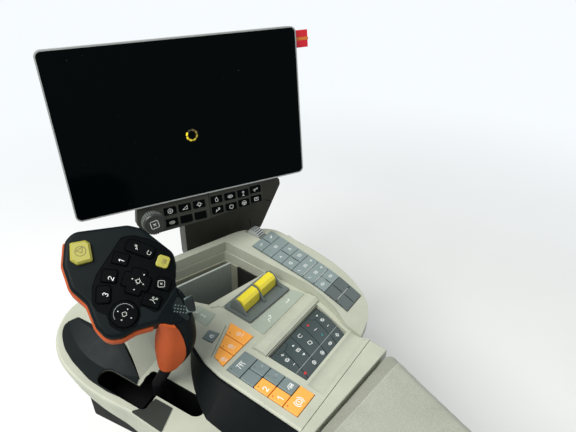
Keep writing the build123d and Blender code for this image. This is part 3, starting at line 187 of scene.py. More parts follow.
def plastic(name, colour, rough, grain=0.25, size=1300, mottle=0.07, specular=0.5, coat=0):
    """Moulded plastic: fine erosion grain, slow colour drift and uneven gloss."""
    made, tree, shader, coords = material(name)
    fine = tree.nodes.new("ShaderNodeTexVoronoi")
    fine.feature = "SMOOTH_F1"
    fine.inputs["Scale"].default_value = size
    tree.links.new(coords, fine.inputs["Vector"])
    slow = noise(tree, coords, 26, 4, 0.6)
    tree.links.new(ramp(tree, slow, ((0.3, shade(colour, 1 - mottle)), (0.7, shade(colour, 1 + mottle)))),
                   shader.inputs["Base Color"])
    tree.links.new(spread(tree, noise(tree, coords, 90, 5, 0.65), rough - 0.06, rough + 0.08),
                   shader.inputs["Roughness"])
    soft = bump(tree, slow, 0.05, 0.002)
    tree.links.new(bump(tree, fine.outputs["Distance"], grain, 0.00012, soft), shader.inputs["Normal"])
    shader.inputs["Specular IOR Level"].default_value = specular
    shader.inputs["Coat Weight"].default_value = coat
    shader.inputs["Coat Roughness"].default_value = 0.15
    return made


def step(tree, value, start, low=0, high=1):
    """Low before a start and high past it, with an edge that is a fraction of a millimetre wide."""
    made = tree.nodes.new("ShaderNodeMapRange")
    made.inputs["From Min"].default_value = start
    made.inputs["From Max"].default_value = start + EDGE
    made.inputs["To Min"].default_value = low
    made.inputs["To Max"].default_value = high
    tree.links.new(value, made.inputs["Value"])
    return made.outputs["Result"]


def measure(tree, coords, origin, direction, kind):
    """Distance from a place, in metres: along a direction (DOT_PRODUCT) or across it (CROSS_PRODUCT)."""
    gap = tree.nodes.new("ShaderNodeVectorMath")
    gap.operation = "SUBTRACT"
    gap.inputs[1].default_value = origin
    tree.links.new(coords, gap.inputs[0])
    made = tree.nodes.new("ShaderNodeVectorMath")
    made.operation = kind
    made.inputs[1].default_value = direction
    tree.links.new(gap.outputs["Vector"], made.inputs[0])
    if kind == "DOT_PRODUCT":
        return made.outputs["Value"]
    length = tree.nodes.new("ShaderNodeVectorMath")
    length.operation = "LENGTH"
    tree.links.new(made.outputs["Vector"], length.inputs[0])
    return length.outputs["Value"]


def tint(made, factor, planes, inside=None):
    """Painted shade or painted highlight: a darker or lighter zone of a material, past every plane and
    nearer to an axis than a radius.
    """
    tree = made.node_tree
    coords = tree.nodes["Texture Coordinate"].outputs["Object"]
    masks = [step(tree, measure(tree, coords, origin, normal, "DOT_PRODUCT"), start)
             for origin, normal, start in planes]
    if inside:
        origin, axis, radius = inside
        masks.append(step(tree, measure(tree, coords, origin, axis, "CROSS_PRODUCT"), radius, 1, 0))
    zone = masks[0]
    for mask in masks[1:]:
        both = tree.nodes.new("ShaderNodeMath")
        both.operation = "MULTIPLY"
        tree.links.new(zone, both.inputs[0])
        tree.links.new(mask, both.inputs[1])
        zone = both.outputs[0]
    socket = tree.nodes["Principled BSDF"].inputs["Base Color"]
    mix = tree.nodes.new("ShaderNodeMix")
    mix.data_type = "RGBA"
    mix.blend_type = "MULTIPLY"
    mix.clamp_result = False
    tree.links.new(zone, mix.inputs[0])
    tree.links.new(socket.links[0].from_socket, mix.inputs[6])
    mix.inputs[7].default_value = (factor, factor, factor, 1)
    tree.links.new(mix.outputs[2], socket)


def ink(name, colour, rough=0.5, glow=0):
    """Printed mark, slightly uneven."""
    made, tree, shader, coords = material(name)
    uneven = ramp(tree, noise(tree, coords, 700, 3),
                  ((0.35, shade(colour, 0.86)), (0.65, shade(colour, 1.06))))
    tree.links.new(uneven, shader.inputs["Base Color"])
    shader.inputs["Roughness"].default_value = rough
    if glow:
        tree.links.new(uneven, shader.inputs["Emission Color"])
        shader.inputs["Emission Strength"].default_value = glow
    return made


def vinyl_paint(name):
    """Leather-grained vinyl: small cells, slow creases and an uneven colour."""
    made, tree, shader, coords = material(name)
    cells = tree.nodes.new("ShaderNodeTexVoronoi")
    cells.feature = "DISTANCE_TO_EDGE"
    cells.inputs["Scale"].default_value = 520
    tree.links.new(coords, cells.inputs["Vector"])
    drift = noise(tree, coords, 18, 5, 0.6)
    colour = ramp(tree, drift, ((0.3, (0.365, 0.38, 0.31)), (0.7, (0.425, 0.44, 0.37))))
    grain = ramp(tree, noise(tree, coords, 620, 3, 0.7), ((0.36, (0.80, 0.80, 0.79)), (0.66, (1, 1, 1))))
    tree.links.new(multiply(tree, colour, grain), shader.inputs["Base Color"])
    tree.links.new(spread(tree, noise(tree, coords, 60, 4), 0.5, 0.66), shader.inputs["Roughness"])
    tree.links.new(bump(tree, cells.outputs["Distance"], 0.7, 0.0005, bump(tree, drift, 0.12, 0.002)),
                   shader.inputs["Normal"])
    shader.inputs["Sheen Weight"].default_value = 0.15
    return made


def flecked(name):
    """Rough grey with light and dark flecks, for the tray's divider."""
    made, tree, shader, coords = material(name)
    fleck = noise(tree, coords, 900, 4, 0.8)
    tree.links.new(ramp(tree, fleck, ((0.4, (0.26, 0.30, 0.27)), (0.62, (0.43, 0.48, 0.435)))),
                   shader.inputs["Base Color"])
    shader.inputs["Roughness"].default_value = 0.8
    tree.links.new(bump(tree, fleck, 0.5, 0.0003), shader.inputs["Normal"])
    return made


def smeared_glass(name):
    """Black display glass with a few dust specks and smears in its gloss."""
    made, tree, shader, coords = material(name)
    smear = noise(tree, coords, 14, 6, 0.7)
    specks = noise(tree, coords, 420, 1)
    tree.links.new(ramp(tree, specks, ((0.79, (0.0007, 0.0018, 0.0022)), (0.86, (0.06, 0.07, 0.07)))),
                   shader.inputs["Base Color"])
    tree.links.new(spread(tree, smear, 0.06, 0.2), shader.inputs["Roughness"])
    shader.inputs["Specular IOR Level"].default_value = 0.05
    return made


def scratched_steel(name):
    """Dark painted steel with fine scratches."""
    made, tree, shader, coords = material(name)
    scratch = noise(tree, coords, 240, 8, 0.7)
    tree.links.new(ramp(tree, scratch, ((0.35, (0.022, 0.023, 0.025)), (0.75, (0.05, 0.05, 0.052)))),
                   shader.inputs["Base Color"])
    tree.links.new(spread(tree, scratch, 0.35, 0.55), shader.inputs["Roughness"])
    tree.links.new(bump(tree, scratch, 0.15, 0.0002), shader.inputs["Normal"])
    return made


def brushed_steel(name):
    """Bare steel with lines along the rail."""
    made, tree, shader, coords = material(name)
    brushed = tree.nodes.new("ShaderNodeMapping")
    brushed.inputs["Scale"].default_value = (900, 12, 900)
    tree.links.new(coords, brushed.inputs["Vector"])
    lines = noise(tree, brushed.outputs["Vector"], 1, 3)
    tree.links.new(ramp(tree, lines, ((0.3, (0.32, 0.32, 0.33)), (0.7, (0.46, 0.46, 0.47)))),
                   shader.inputs["Base Color"])
    shader.inputs["Metallic"].default_value = 1
    tree.links.new(spread(tree, lines, 0.3, 0.45), shader.inputs["Roughness"])
    return made


BEIGE = (0.44, 0.46, 0.375)
beige = plastic("beige", BEIGE, 0.52, 0.35, 1100)
vinyl = vinyl_paint("vinyl")
divider_grey = flecked("divider_grey")
glass = smeared_glass("glass")
steel = scratched_steel("steel")
bare_steel = brushed_steel("bare_steel")

charcoal = plastic("charcoal", (0.0036, 0.0068, 0.008), 0.46, 0.3, 1500, 0.12, specular=0.09)
dark_insert = plastic("dark_insert", (0.0085, 0.0118, 0.013), 0.5, 0.35, 1300, 0.1, specular=0.13)
flank_black = plastic("flank_black", (0.0035, 0.005, 0.0055), 0.42, 0.25, 1300, 0.12, specular=0.12)
patch_grey = plastic("patch_grey", (0.026, 0.030, 0.026), 0.5, 0.3, 1300, 0.1, specular=0.25)
button_black = plastic("button_black", (0.0010, 0.0018, 0.0022), 0.36, 0.12, 1500, 0.15, specular=0.05)
knurl_grey = plastic("knurl_grey", (0.012, 0.016, 0.0165), 0.3, 0.1, 1500, 0.1, specular=0.25)
# The pod's beige, which carries painted shade inside its slot
pod_beige_painted_shade = plastic("pod_beige_painted_shade", BEIGE, 0.52, 0.35, 1100)
# The tray's walls: the shell's beige made darker, as painted shade inside the tray
tray_beige = plastic("tray_beige", (0.27, 0.275, 0.215), 0.62, 0.4, 1000)
housing_black = plastic("housing_black", (0.004, 0.004, 0.005), 0.6, specular=0.16)
key_grey = plastic("key_grey", (0.165, 0.21, 0.212), 0.36, 0.12, 1600, 0.05)
# The rib's keys: the block keys' grey made lighter, as a painted reflection, and glossier
rib_key_painted_light = plastic("rib_key_painted_light", (0.21, 0.265, 0.262), 0.3, 0.1, 1600, 0.05)
key_dark = plastic("key_dark", (0.048, 0.066, 0.068), 0.34, 0.12, 1600, 0.07)
key_orange = plastic("key_orange", (0.92, 0.39, 0.07), 0.4, 0.12, 1600, 0.04)
rubber_orange = plastic("rubber_orange", (0.46, 0.078, 0.013), 0.62, 0.45, 1500, 0.08, specular=0.3)
yellow = plastic("yellow", (0.80, 0.67, 0.045), 0.22, 0.05, 1600, 0.03, coat=0.3)
olive = plastic("olive", (0.36, 0.335, 0.05), 0.36, 0.1, 1600, 0.05)
taupe = plastic("taupe", (0.036, 0.036, 0.027), 0.5, 0.3, 1300, specular=0.3)
taupe_bar = plastic("taupe_bar", (0.042, 0.044, 0.036), 0.48, 0.3, 1300, specular=0.3)
knob_grey = plastic("knob_grey", (0.10, 0.105, 0.10), 0.4, 0.2)
bar_knob_grey = plastic("bar_knob_grey", (0.15, 0.165, 0.155), 0.36, 0.1)
wheel_grey = plastic("wheel_grey", (0.40, 0.43, 0.42), 0.4, 0.1)
bezel_grey = plastic("bezel_grey", (0.115, 0.138, 0.135), 0.38, 0.2)
rim_grey = plastic("rim_grey", (0.34, 0.36, 0.35), 0.4, 0.15)
label_grey = plastic("label_grey", (0.34, 0.39, 0.33), 0.45, 0.08, 1600, 0.04)
tab_red = plastic("tab_red", (0.72, 0.012, 0.028), 0.45, 0.1)


# Painted shade and painted highlights: zones of these materials, each past some planes (origin, direction,
# distance in metres)
def back(direction):
    """Opposite direction."""
    return [-c for c in direction]


# Painted shade on the walls of the pod's slot, round the gate and under the insert's sloping face: the pod's
# beige made almost black there
POD_TILT, GATE_TURN = math.radians(10), math.radians(11)
gate_place = (-0.062, 0.308, 0.190)
gate_x = (math.cos(GATE_TURN), math.sin(GATE_TURN), 0)
gate_y = (-math.sin(GATE_TURN), math.cos(GATE_TURN), 0)
under_pod = ((-0.010, 0.310, 0.172), (0, math.sin(POD_TILT), -math.cos(POD_TILT)), 0.0004)
tint(pod_beige_painted_shade, 0.02, [under_pod, (gate_place, gate_x, -0.0365), (gate_place, back(gate_x), -0.014),
                       (gate_place, gate_y, -0.064), (gate_place, back(gate_y), -0.0655)])

# Painted shade in the tray, behind its divider and below the ledge
tint(tray_beige, 0.04, [((0.135, 0.372, 0), (-0.275, -0.961, 0), 0), ((0, 0, 0.1755), (0, 0, -1), 0)])

# Painted shade on the pad's bevel, and a painted highlight along its crease
crease, forward = (-0.0066, 0.1086, 0), (0.1333, 0.991, 0)
CREASE_HALF = 0.0008
tint(vinyl, 0.80, [(crease, forward, 0)])
tint(vinyl, 1.2, [(crease, forward, -CREASE_HALF), (crease, back(forward), -CREASE_HALF)])

# Painted shade on the rear keys of the rib
tint(rib_key_painted_light, 0.42, [((0, 0.2195, 0), (0, -1, 0), 0)])

# Painted shade in the grooves between the ridges of the thumb wheel and of the bar's knob: nearer to the
# axis than a radius
tint(wheel_grey, 0.06, [((0.1898, 0, 0), (1, 0, 0), 0), ((0.2022, 0, 0), (-1, 0, 0), 0)],
     ((0.196, 0.371, 0.202), (1, 0, 0), 0.0136))
knob_axis = tuple(screen(0, 0, 1000) - screen(0, 0, 0))
tint(bar_knob_grey, 0.16, [(screen(-68, -122, -3), back(screen(0, 0, -1000) - screen(0, 0, 0)), 0)],
     (screen(-68, -122), knob_axis, 0.0142))

# Painted highlights on the raised tips of the knurled plate, between two planes across its normal
knurl_place, knurl_normal = (-0.0418, 0.29395, 0.29884), (-0.16394, -0.77901, 0.6052)
tint(knurl_grey, 11, [(knurl_place, knurl_normal, 0.0009), (knurl_place, back(knurl_normal), -0.0024)])

white_ink = ink("white_ink", (0.82, 0.85, 0.83))
faint_ink = ink("faint_ink", (0.30, 0.34, 0.33))
pale_ink = ink("pale_ink", (0.62, 0.66, 0.60))
dark_ink = ink("dark_ink", (0.012, 0.013, 0.014), 0.6)
brown_ink = ink("brown_ink", (0.10, 0.085, 0.03))
red_ink = ink("red_ink", (0.62, 0.02, 0.03))
teal_ink = ink("teal_ink", (0.02, 0.35, 0.38))
orange_ink = ink("orange_ink", (0.75, 0.20, 0.03))

# Material of each node
look = {
    "armrest_base": beige, "rear_bar": beige, "lower_shell": beige, "deck_shell": beige, "right_rib": beige,
    "hood_bar": beige, "pod_shell": pod_beige_painted_shade, "saddle": beige, "armrest_pad": vinyl,
    "side_panel": flank_black, "pod_insert": dark_insert, "toggle_bezel": bezel_grey,
    "lever_head": charcoal, "lever_grip": charcoal, "tray_bin": tray_beige,
    "lever_housing": housing_black, "keypad_base": housing_black,
    "nav_keys": button_black, "lever_buttons": button_black, "tray_divider": divider_grey,
    "label_plate_side": label_grey, "label_plate_rear": label_grey, "rib_keys": rib_key_painted_light,
    "block_keys_grey": key_grey, "lock_key": key_grey, "centre_keys": key_dark,
    "block_keys_orange": key_orange, "row_keys_orange": key_orange, "palm_pad": rubber_orange,
    "head_trim": rubber_orange, "toggle_left": yellow, "toggle_right": yellow, "stop_button": olive,
    "resume_button": olive, "nav_bar": taupe_bar, "neck_cover": taupe, "nav_knob": bar_knob_grey,
    "trim_knob": knob_grey, "thumb_wheel": wheel_grey, "display_housing": rim_grey, "display_glass": glass,
    "pull_tab": tab_red, "seat_plate": steel, "slide_rail": bare_steel, "slide_carriage": steel,
    "display_arm": steel, "display_foot": steel, "lever_stalk": housing_black, "tray_ledge": beige,
    "pod_patch": patch_grey, "button_field": button_black, "side_buttons": knurl_grey,
}
for name, obj in nodes.items():
    obj.data.materials.clear()
    obj.data.materials.append(look[name])


# Line art: strokes laid just over a surface
def arc(x, y, r, start, end, steps=10):
    """Points of an arc, angles in degrees."""
    return [(x + r * math.cos(math.radians(start + (end - start) * i / steps)),
             y + r * math.sin(math.radians(start + (end - start) * i / steps))) for i in range(steps + 1)]


def box(x, y, w, h):
    """Closed rectangle round a centre, from its half width and half height."""
    return [(x - w, y - h), (x + w, y - h), (x + w, y + h), (x - w, y + h), (x - w, y - h)]


# Strokes of each icon, in a square from -1 to 1
ICONS = {
    "one": [[(-0.45, 0.55), (0.1, 1), (0.1, -1)]],
    "two": [arc(0, 0.42, 0.56, 165, -35, 8) + [(-0.6, -1), (0.65, -1)]],
    "three": [arc(0, 0.5, 0.5, 150, -90, 8), arc(0, -0.5, 0.52, 90, -150, 8)],
    "plus": [[(-0.6, 0), (0.6, 0)], [(0, -0.6), (0, 0.6)]],
    "minus": [[(0, -0.6), (0, 0.6)]],
    "bar": [[(-0.7, 0), (0.7, 0)]],
    "up": [[(-0.55, -0.3), (0, 0.45), (0.55, -0.3), (-0.55, -0.3)]],
    "down": [[(-0.55, 0.3), (0, -0.45), (0.55, 0.3), (-0.55, 0.3)]],
    "curve_up": [arc(-0.5, -0.5, 1.0, 20, 80, 6), [(-0.35, 0.8), (-0.33, 0.5), (-0.02, 0.28)]],
    "ring": [arc(0, 0, 0.8, 0, 360, 20)],
    "ring_dot": [arc(0, 0, 0.8, 0, 360, 20), arc(0, 0, 0.22, 0, 360, 8)],
    "ring_cross": [arc(0, 0, 0.85, 0, 360, 20), [(-0.45, 0), (0.45, 0)], [(0, -0.45), (0, 0.45)]],
    "ring_up": [arc(0, 0, 0.85, 0, 360, 20), [(-0.35, -0.3), (0, 0.4), (0.35, -0.3), (-0.35, -0.3)]],
    "ring_bars": [arc(0, 0, 0.85, 0, 360, 20), [(-0.2, -0.35), (-0.2, 0.35)], [(0.2, -0.35), (0.2, 0.35)]],
    "fan": [arc(0.42 * math.cos(a), 0.42 * math.sin(a), 0.42, math.degrees(a) - 90, math.degrees(a) + 90, 6)
            for a in (0.5, 2.07, 3.64, 5.21)],
    "drop": [[(0, 1), (-0.5, 0)] + arc(0, -0.25, 0.56, 155, 385, 12) + [(0, 1)]],
    "gear": [arc(0, 0, 0.55, 0, 360, 16)] + [[(0.62 * math.cos(a), 0.62 * math.sin(a)),
             (0.95 * math.cos(a), 0.95 * math.sin(a))] for a in [i * math.pi / 4 for i in range(8)]],
    "wedge": [[(-0.9, -0.6), (0.9, -0.6), (0.9, 0.7), (-0.9, -0.6)]],
    "target": [box(0, 0, 0.5, 0.5), [(0, 0.6), (0, 1)], [(0, -0.6), (0, -1)], [(0.6, 0), (1, 0)],
               [(-0.6, 0), (-1, 0)]],
    "oval": [[(x, y * 0.55) for x, y in arc(0, 0, 0.95, 0, 360, 20)], [(-0.5, 0), (0.5, 0)]],
    "tower": [[(-0.5, -0.9), (0.5, -0.9)], [(0, -0.9), (0, 0.2)], arc(0, 0.5, 0.35, 0, 360, 12)],
    "flow": [[(-0.9, -0.2), (-0.3, 0.4), (0.3, -0.1), (0.9, 0.5)], [(0.55, 0.6), (0.9, 0.5), (0.85, 0.15)]],
    "boxed": [box(0, 0, 0.8, 0.6), [(-0.4, -0.1), (0, 0.25), (0.4, -0.1)]],
    "pane": [[(-1, -0.7)] + arc(-0.7, 0.7, 0.3, 180, 90, 3) + arc(0.7, 0.7, 0.3, 90, 0, 3)
             + arc(0.7, -0.7, 0.3, 0, -90, 3) + arc(-0.7, -0.7, 0.3, -90, -180, 3),
             [(-0.35, 0.3), (0.3, -0.3)], [(-0.3, -0.25), (0.35, 0.3)]],
    "fork": [[(0, 1), (0, 0.2), (-0.7, -0.8)], [(0, 0.2), (0.55, -0.5)], box(0.75, 0.3, 0.2, 0.2),
             box(0.75, -0.8, 0.2, 0.2)],
    "brake": [arc(0, 0, 0.6, 0, 360, 18), arc(0, 0, 1.0, 125, 235, 8), arc(0, 0, 1.0, -55, 55, 8),
              [(0, -0.28), (0, 0.32)]],
    "lock": [box(0, -0.35, 0.55, 0.42), arc(0, 0.1, 0.38, 0, 180, 8)],
    "header": [[(-1, -0.5), (-0.4, 0.4), (0.9, 0.4), (0.9, -0.1), (-0.2, -0.1)],
               arc(-0.1, -0.5, 0.3, 0, 360, 10), arc(0.7, -0.5, 0.25, 0, 360, 10)],
    "comb": [[(-0.9, 0.6), (0.9, 0.6)], [(-0.5, 0.6), (-0.7, -0.6)], [(0, 0.6), (0.1, -0.6)],
             [(0.5, 0.6), (0.75, -0.6)], [(-0.25, 0.1), (0.4, 0.1)]],
    "spin": [arc(0, 0, 0.75, 40, 320, 14), [(0.3, 0.75), (0.62, 0.42), (0.95, 0.72)]],
    "star": [[(-0.6, 0), (0.6, 0)], [(-0.3, -0.52), (0.3, 0.52)], [(-0.3, 0.52), (0.3, -0.52)]],
    "auger": [[(-0.9, -0.7), (0.3, 0.1), (0.3, 0.8), (0.8, 0.8)], arc(-0.55, -0.1, 0.22, 0, 360, 8),
              arc(0.6, 0.2, 0.2, 0, 360, 8)],
    "spout": [arc(-0.4, -0.3, 0.5, 180, 20, 8), [(0.1, 0.0), (0.8, 0.6), (0.9, 0.1)],
              [(-0.4, -0.8), (-0.4, -0.3)]],
    "road": [[(-0.6, -0.8), (-0.2, 0.8)], [(0.6, -0.8), (0.2, 0.8)], [(0, -0.5), (0, -0.1)],
             [(0, 0.1), (0, 0.4)]],
    "wheel": [arc(0, 0, 0.85, 0, 360, 20), arc(0, 0, 0.25, 0, 360, 8), [(-0.85, 0), (-0.25, 0)],
              [(0.25, 0), (0.85, 0)], [(0, -0.25), (0, -0.85)]],
}


# Heights of the line art over its surface, in millimetres
PRINT = 0.06          # on the surface itself
KEY = 1.66            # on the deck's keys
LABEL = 0.86          # on the deck's labels
HEAD_KEY = 1.86       # on the head's buttons
STOP_KEY = 5.06       # on the head's big button
BAR_KEY = -2.94       # on the keys of the display's bar
KNOB_FACE = 10.56     # on the knob of the display's bar
TAB_FACE = -4.94      # on the display's tab
KEYPAD_LINE = 0.1     # of the pale line over the keypad
LAYER, LAYERS = 0.002, 25     # rise from one ribbon to the next, and ribbons before it starts over
RIBBON_PIECE = 6      # most length of a ribbon's piece, so that it follows an arched surface
THIN = 0.25           # a thinner ribbon has no round ends


def link(name, mesh_edit, body, paint):
    """Finish a bmesh as a piece that rides on a body."""
    mesh = bpy.data.meshes.new(name)
    mesh_edit.to_mesh(mesh)
    mesh_edit.free()
    obj = bpy.data.objects.new(name, mesh)
    scene.collection.objects.link(obj)
    mesh.materials.append(paint)
    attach(obj, body)
    return obj


def art(name, body, paint, surface, strokes, width, lift=PRINT):
    """Strokes in a surface's own millimetres, as flat ribbons with round ends.

    Where ribbons cross, each lies a little over the last, so that none shades its neighbour.
    """
    made = bmesh.new()

    def patch(points):
        height = lift + LAYER * (len(made.faces) % LAYERS)
        corners = [made.verts.new(surface(x, y, height)) for x, y in points]
        made.faces.new(corners)

    half = width / 2
    for points in strokes:
        for (ax, ay), (bx, by) in zip(points, points[1:]):
            length = math.hypot(bx - ax, by - ay)
            if length < 1e-6:
                continue
            nx, ny = -(by - ay) / length * half, (bx - ax) / length * half
            pieces = max(1, int(length / RIBBON_PIECE))
            for i in range(pieces):
                s, e = i / pieces, (i + 1) / pieces
                sx, sy = ax + (bx - ax) * s, ay + (by - ay) * s
                ex, ey = ax + (bx - ax) * e, ay + (by - ay) * e
                patch([(sx - nx, sy - ny), (ex - nx, ey - ny), (ex + nx, ey + ny), (sx + nx, sy + ny)])
        closed = points[0] == points[-1]
        for x, y in points[1:] if closed else points:
            if width > THIN:
                patch([(x + half * math.cos(a * math.pi / 4), y + half * math.sin(a * math.pi / 4))
                       for a in range(8)])
    return link(name, made, body, paint)


def icon(kind, x, y, size, turn=0):
    """Strokes of an icon, placed in a surface's millimetres."""
    c, s = math.cos(math.radians(turn)) * size, math.sin(math.radians(turn)) * size
    return [[(x + px * c - py * s, y + px * s + py * c) for px, py in stroke] for stroke in ICONS[kind]]


def icons(rows):
    """Strokes of several icons: kind, x, y, size and, if turned, its angle."""
    return [stroke for row in rows for stroke in icon(*row)]


def dots(places, r=0.7):
    """Strokes that fill small round dots."""
    return [arc(x, y, r / 2, 0, 360, 8) for x, y in places]


# Line art of the deck's keys and labels
art("marks_block", "console", white_ink, deck,
    icons([("comb", 14.5, -10, 5.6), ("header", 25.4, -71.5, 4, 0)]), 0.8, KEY)
art("marks_block_orange", "console", white_ink, deck,
    icons([("two", 6.5, -52.3, 3.3, 5), ("one", 7, -72.3, 3.4, 5), ("brake", 15.5, -91, 5.6, 5)]), 1.05, KEY)
art("leds_block", "console", brown_ink, deck,
    dots([(4, -44), (4, -4.5), (22, -24), (22, -44)]), 0.9, KEY)
art("leds_red", "console", red_ink, deck, dots([(4, -64), (4, -84)]), 1.1, KEY)
art("marks_row", "console", white_ink, deck,
    icons([("ring_up", 8.6, 12.2, 3.1), ("ring_bars", 28, 17.5, 3.2), ("ring_dot", 48.6, 22.4, 3.3)])
    + [[(7, 7.6), (12, 7.8)], [(26.5, 12.6), (32, 12.8)], [(47, 17.2), (53, 17.4)]], 0.6, KEY)
art("leds_row", "console", brown_ink, deck,
    dots([(3.6, 16.5), (22.9, 24.5), (43, 32.2)]), 0.9, KEY)
art("marks_lock", "console", white_ink, deck, icons([("lock", 25.8, 47, 3.3)]), 0.9, KEY)
art("marks_side_label", "console", white_ink, deck,
    icons([("tower", 45, 79, 4), ("curve_up", 44, 88, 3)]), 0.7, LABEL)
art("marks_rear_label", "console", white_ink, deck,
    icons([("flow", 93, 7, 6, 20), ("flow", 132, 7, 4, 0)]), 0.8, LABEL)

# Line art of the rib's keys, whose strip widens to the front
STRIP_FRONT, ROW_PITCH = 105, 19.3
STRIP_LEFT, STRIP_RIGHT = (176.5, 0.112), (224, 0.172)      # place at the front and slope of each side
RIB_ROWS = (("spout", "auger"), ("boxed",), ("up", "road"), ("gear", "boxed"), ("curve_up", "boxed", "up"),
            ("curve_up", "boxed", "up"), ("oval", "oval"))


def strip(row, share):
    """Place on the rib's key strip: a row's middle and a share of the width there."""
    y = STRIP_FRONT - ROW_PITCH * (row + 0.5)
    left, right = (x + (y - STRIP_FRONT) * slope for x, slope in (STRIP_LEFT, STRIP_RIGHT))
    return left + (right - left) * share, y


rib_marks = []
for row, kinds in enumerate(RIB_ROWS):
    for i, kind in enumerate(kinds):
        x, y = strip(row, (i + 0.5) / len(kinds))
        rib_marks += icon(kind, x, y, 3.2)
art("marks_rib", "console", white_ink, rib, rib_marks, 0.6, KEY)
art("slots_rib", "console", dark_ink, rib,
    [[strip(row + a, 0.5), strip(row + b, 0.5)] for row, a, b in
     ((0, -0.4, 0.3), (2, -0.35, 0.4), (3, -0.35, 0.3), (6, -0.05, 0.3), (7, -0.35, 0.35), (8, -0.3, 0.3))],
    1.5, KEY)
art("border_rib", "console", dark_ink, rib,
    [[strip(row / 2 - 0.45, 0.012) for row in range(18)]], 0.7, KEY)
# Painted highlights along the edges of some key rows, and small LED dots near the strip's left edge
art("rib_highlights_and_leds", "console", white_ink, rib,
    [[strip(row - 0.54, 0.12), strip(row - 0.54, 0.86)] for row in (5, 6)]
    + [[strip(7.5, 0.1), strip(7.5, 0.8)]]
    + dots([strip(row - 0.6, 0.07) for row in (1, 2, 4)], 0.5), 0.45, KEY)

# Line art of the centre keys
art("marks_keypad", "console", white_ink, keypad,
    icons([("plus", 58, -38, 3), ("gear", 55, -47, 3), ("minus", 55, -57, 2.6, 90), ("up", 77, -40, 2.6),
           ("boxed", 75, -49, 3), ("down", 74, -58, 2.6), ("spin", 95, -38, 3.4), ("fan", 93, -54, 3.4),
           ("bar", 115, -48, 3.4, -10), ("plus", 137, -36, 2.8), ("gear", 134, -46, 2.8),
           ("minus", 130, -57, 2.4, 90), ("ring_cross", 73, -73.5, 2.6), ("ring_up", 91, -73.5, 2.6),
           ("oval", 109, -73.5, 2.8), ("target", 126, -73.5, 2.6)]), 0.7)
art("line_keypad", "console", faint_ink, keypad, [[(46, -66), (136, -66)]], 0.7, KEYPAD_LINE)
art("marks_keypad_red", "console", red_ink, keypad,
    icons([("star", 116, -36, 2.6), ("star", 54, -73.5, 2.8)]), 1.0)
art("marks_keypad_teal", "console", teal_ink, keypad, icons([("bar", 113, -59, 2, 60)]), 1.0)

# Line art of the lever head, whose symbols stand turned
HEAD_TEXT = 56
DIGITS = [("one", 4.3, 18.7), ("two", -9.2, 2.9), ("three", -17.2, -11.9)]
art("marks_head", "lever", white_ink, face,
    icons([(kind, x, y, 2.6, HEAD_TEXT) for kind, x, y in DIGITS]), 0.65, HEAD_KEY)
art("marks_head_small", "lever", pale_ink, face,
    icons([("auger", 21.6, 29.2, 2.8, HEAD_TEXT), ("spin", 32.4, 20.1, 2.6, HEAD_TEXT),
           ("pane", 37, -14.9, 3.3, -15), ("fork", 25.5, -29.5, 3.4, HEAD_TEXT),
           ("target", 15.6, -6.6, 3.4, HEAD_TEXT), ("up", 22.6, -1.3, 1.1, HEAD_TEXT),
           ("up", 10.7, -2.7, 1.1, 146), ("up", 19.7, -10.8, 1.1, -34), ("up", 10.0, -14.0, 1.1, 236),
           ("fan", -3.8, -35.6, 2.9, 20), ("up", -9.2, -31.2, 1.0, 110), ("up", 0.0, -31.6, 1.0, 30),
           ("up", 1.5, -40.9, 1.0, -60), ("up", -7.5, -40.5, 1.0, 200)]), 0.42, HEAD_KEY)
# Painted highlight along one side of the round pad's groove
art("round_rim_painted_highlight", "lever", faint_ink, face, [arc(-4, -35, 9.9, 20, 200, 24)], 0.4, HEAD_KEY)
art("marks_stop", "lever", brown_ink, face,
    icons([("ring", -31.5, 36.5, 6.4), ("down", -31.5, 37.2, 6.4, 24)]), 0.6, STOP_KEY)
art("marks_resume", "lever", brown_ink, face,
    icons([("header", 44.3, 7, 3.4, HEAD_TEXT)]), 0.5, HEAD_KEY)

# Display: a loading ring that fades along its turn, symbols of the bar's keys and knob, the tab's stripe
SEGMENTS = 8
for i in range(SEGMENTS):
    level = 1.0 - 0.115 * i
    angle = 150 + 360 / SEGMENTS * i
    segment = ink(f"ring_ink_{i}", (0.80 * level ** 2, 0.62 * level ** 2, 0.02), 0.4, 0.7)
    art(f"loading_ring_{i}", "display", segment, screen,
        [arc(0, -18, 6.6, angle, angle + 20, 4)], 2.5)
NAV_MARKS = [("ring_cross", -43, -114), ("wedge", -23, -114), ("target", -3, -114), ("oval", -43, -130.5),
             ("drop", 22, -113), ("oval", 42, -113), ("tower", 61.5, -113), ("spout", 80.5, -111.5),
             ("auger", 22, -128.5), ("fan", 42, -128.5), ("wheel", 61.5, -127.5), ("boxed", 80.5, -126)]
art("marks_nav", "display", white_ink, screen,
    icons([(kind, x, y, 3.6) for kind, x, y in NAV_MARKS]), 0.6, BAR_KEY)
art("marks_knob", "display", white_ink, screen,
    icons([("pane", -68, -122, 5, 8)]), 0.7, KNOB_FACE)
art("tab_stripe", "display", orange_ink, screen, [[(158, 83), (176, 83)]], 4, TAB_FACE)


# Armrest pad: a crowned vinyl cushion with a bevelled front
PAD = [(-12, -124), (137, -137), (131, -158), (94, -263), (64, -350), (50, -392), (-10, -392), (-16, -263)]
PAD_CORNER, PAD_POINTS = 16, 150
BEVEL_FOOT, BEVEL_SLOPE = 2.5, 0.48
SPINE_FRONT, SPINE_REAR = Vector((48, -185)), Vector((24, -350))

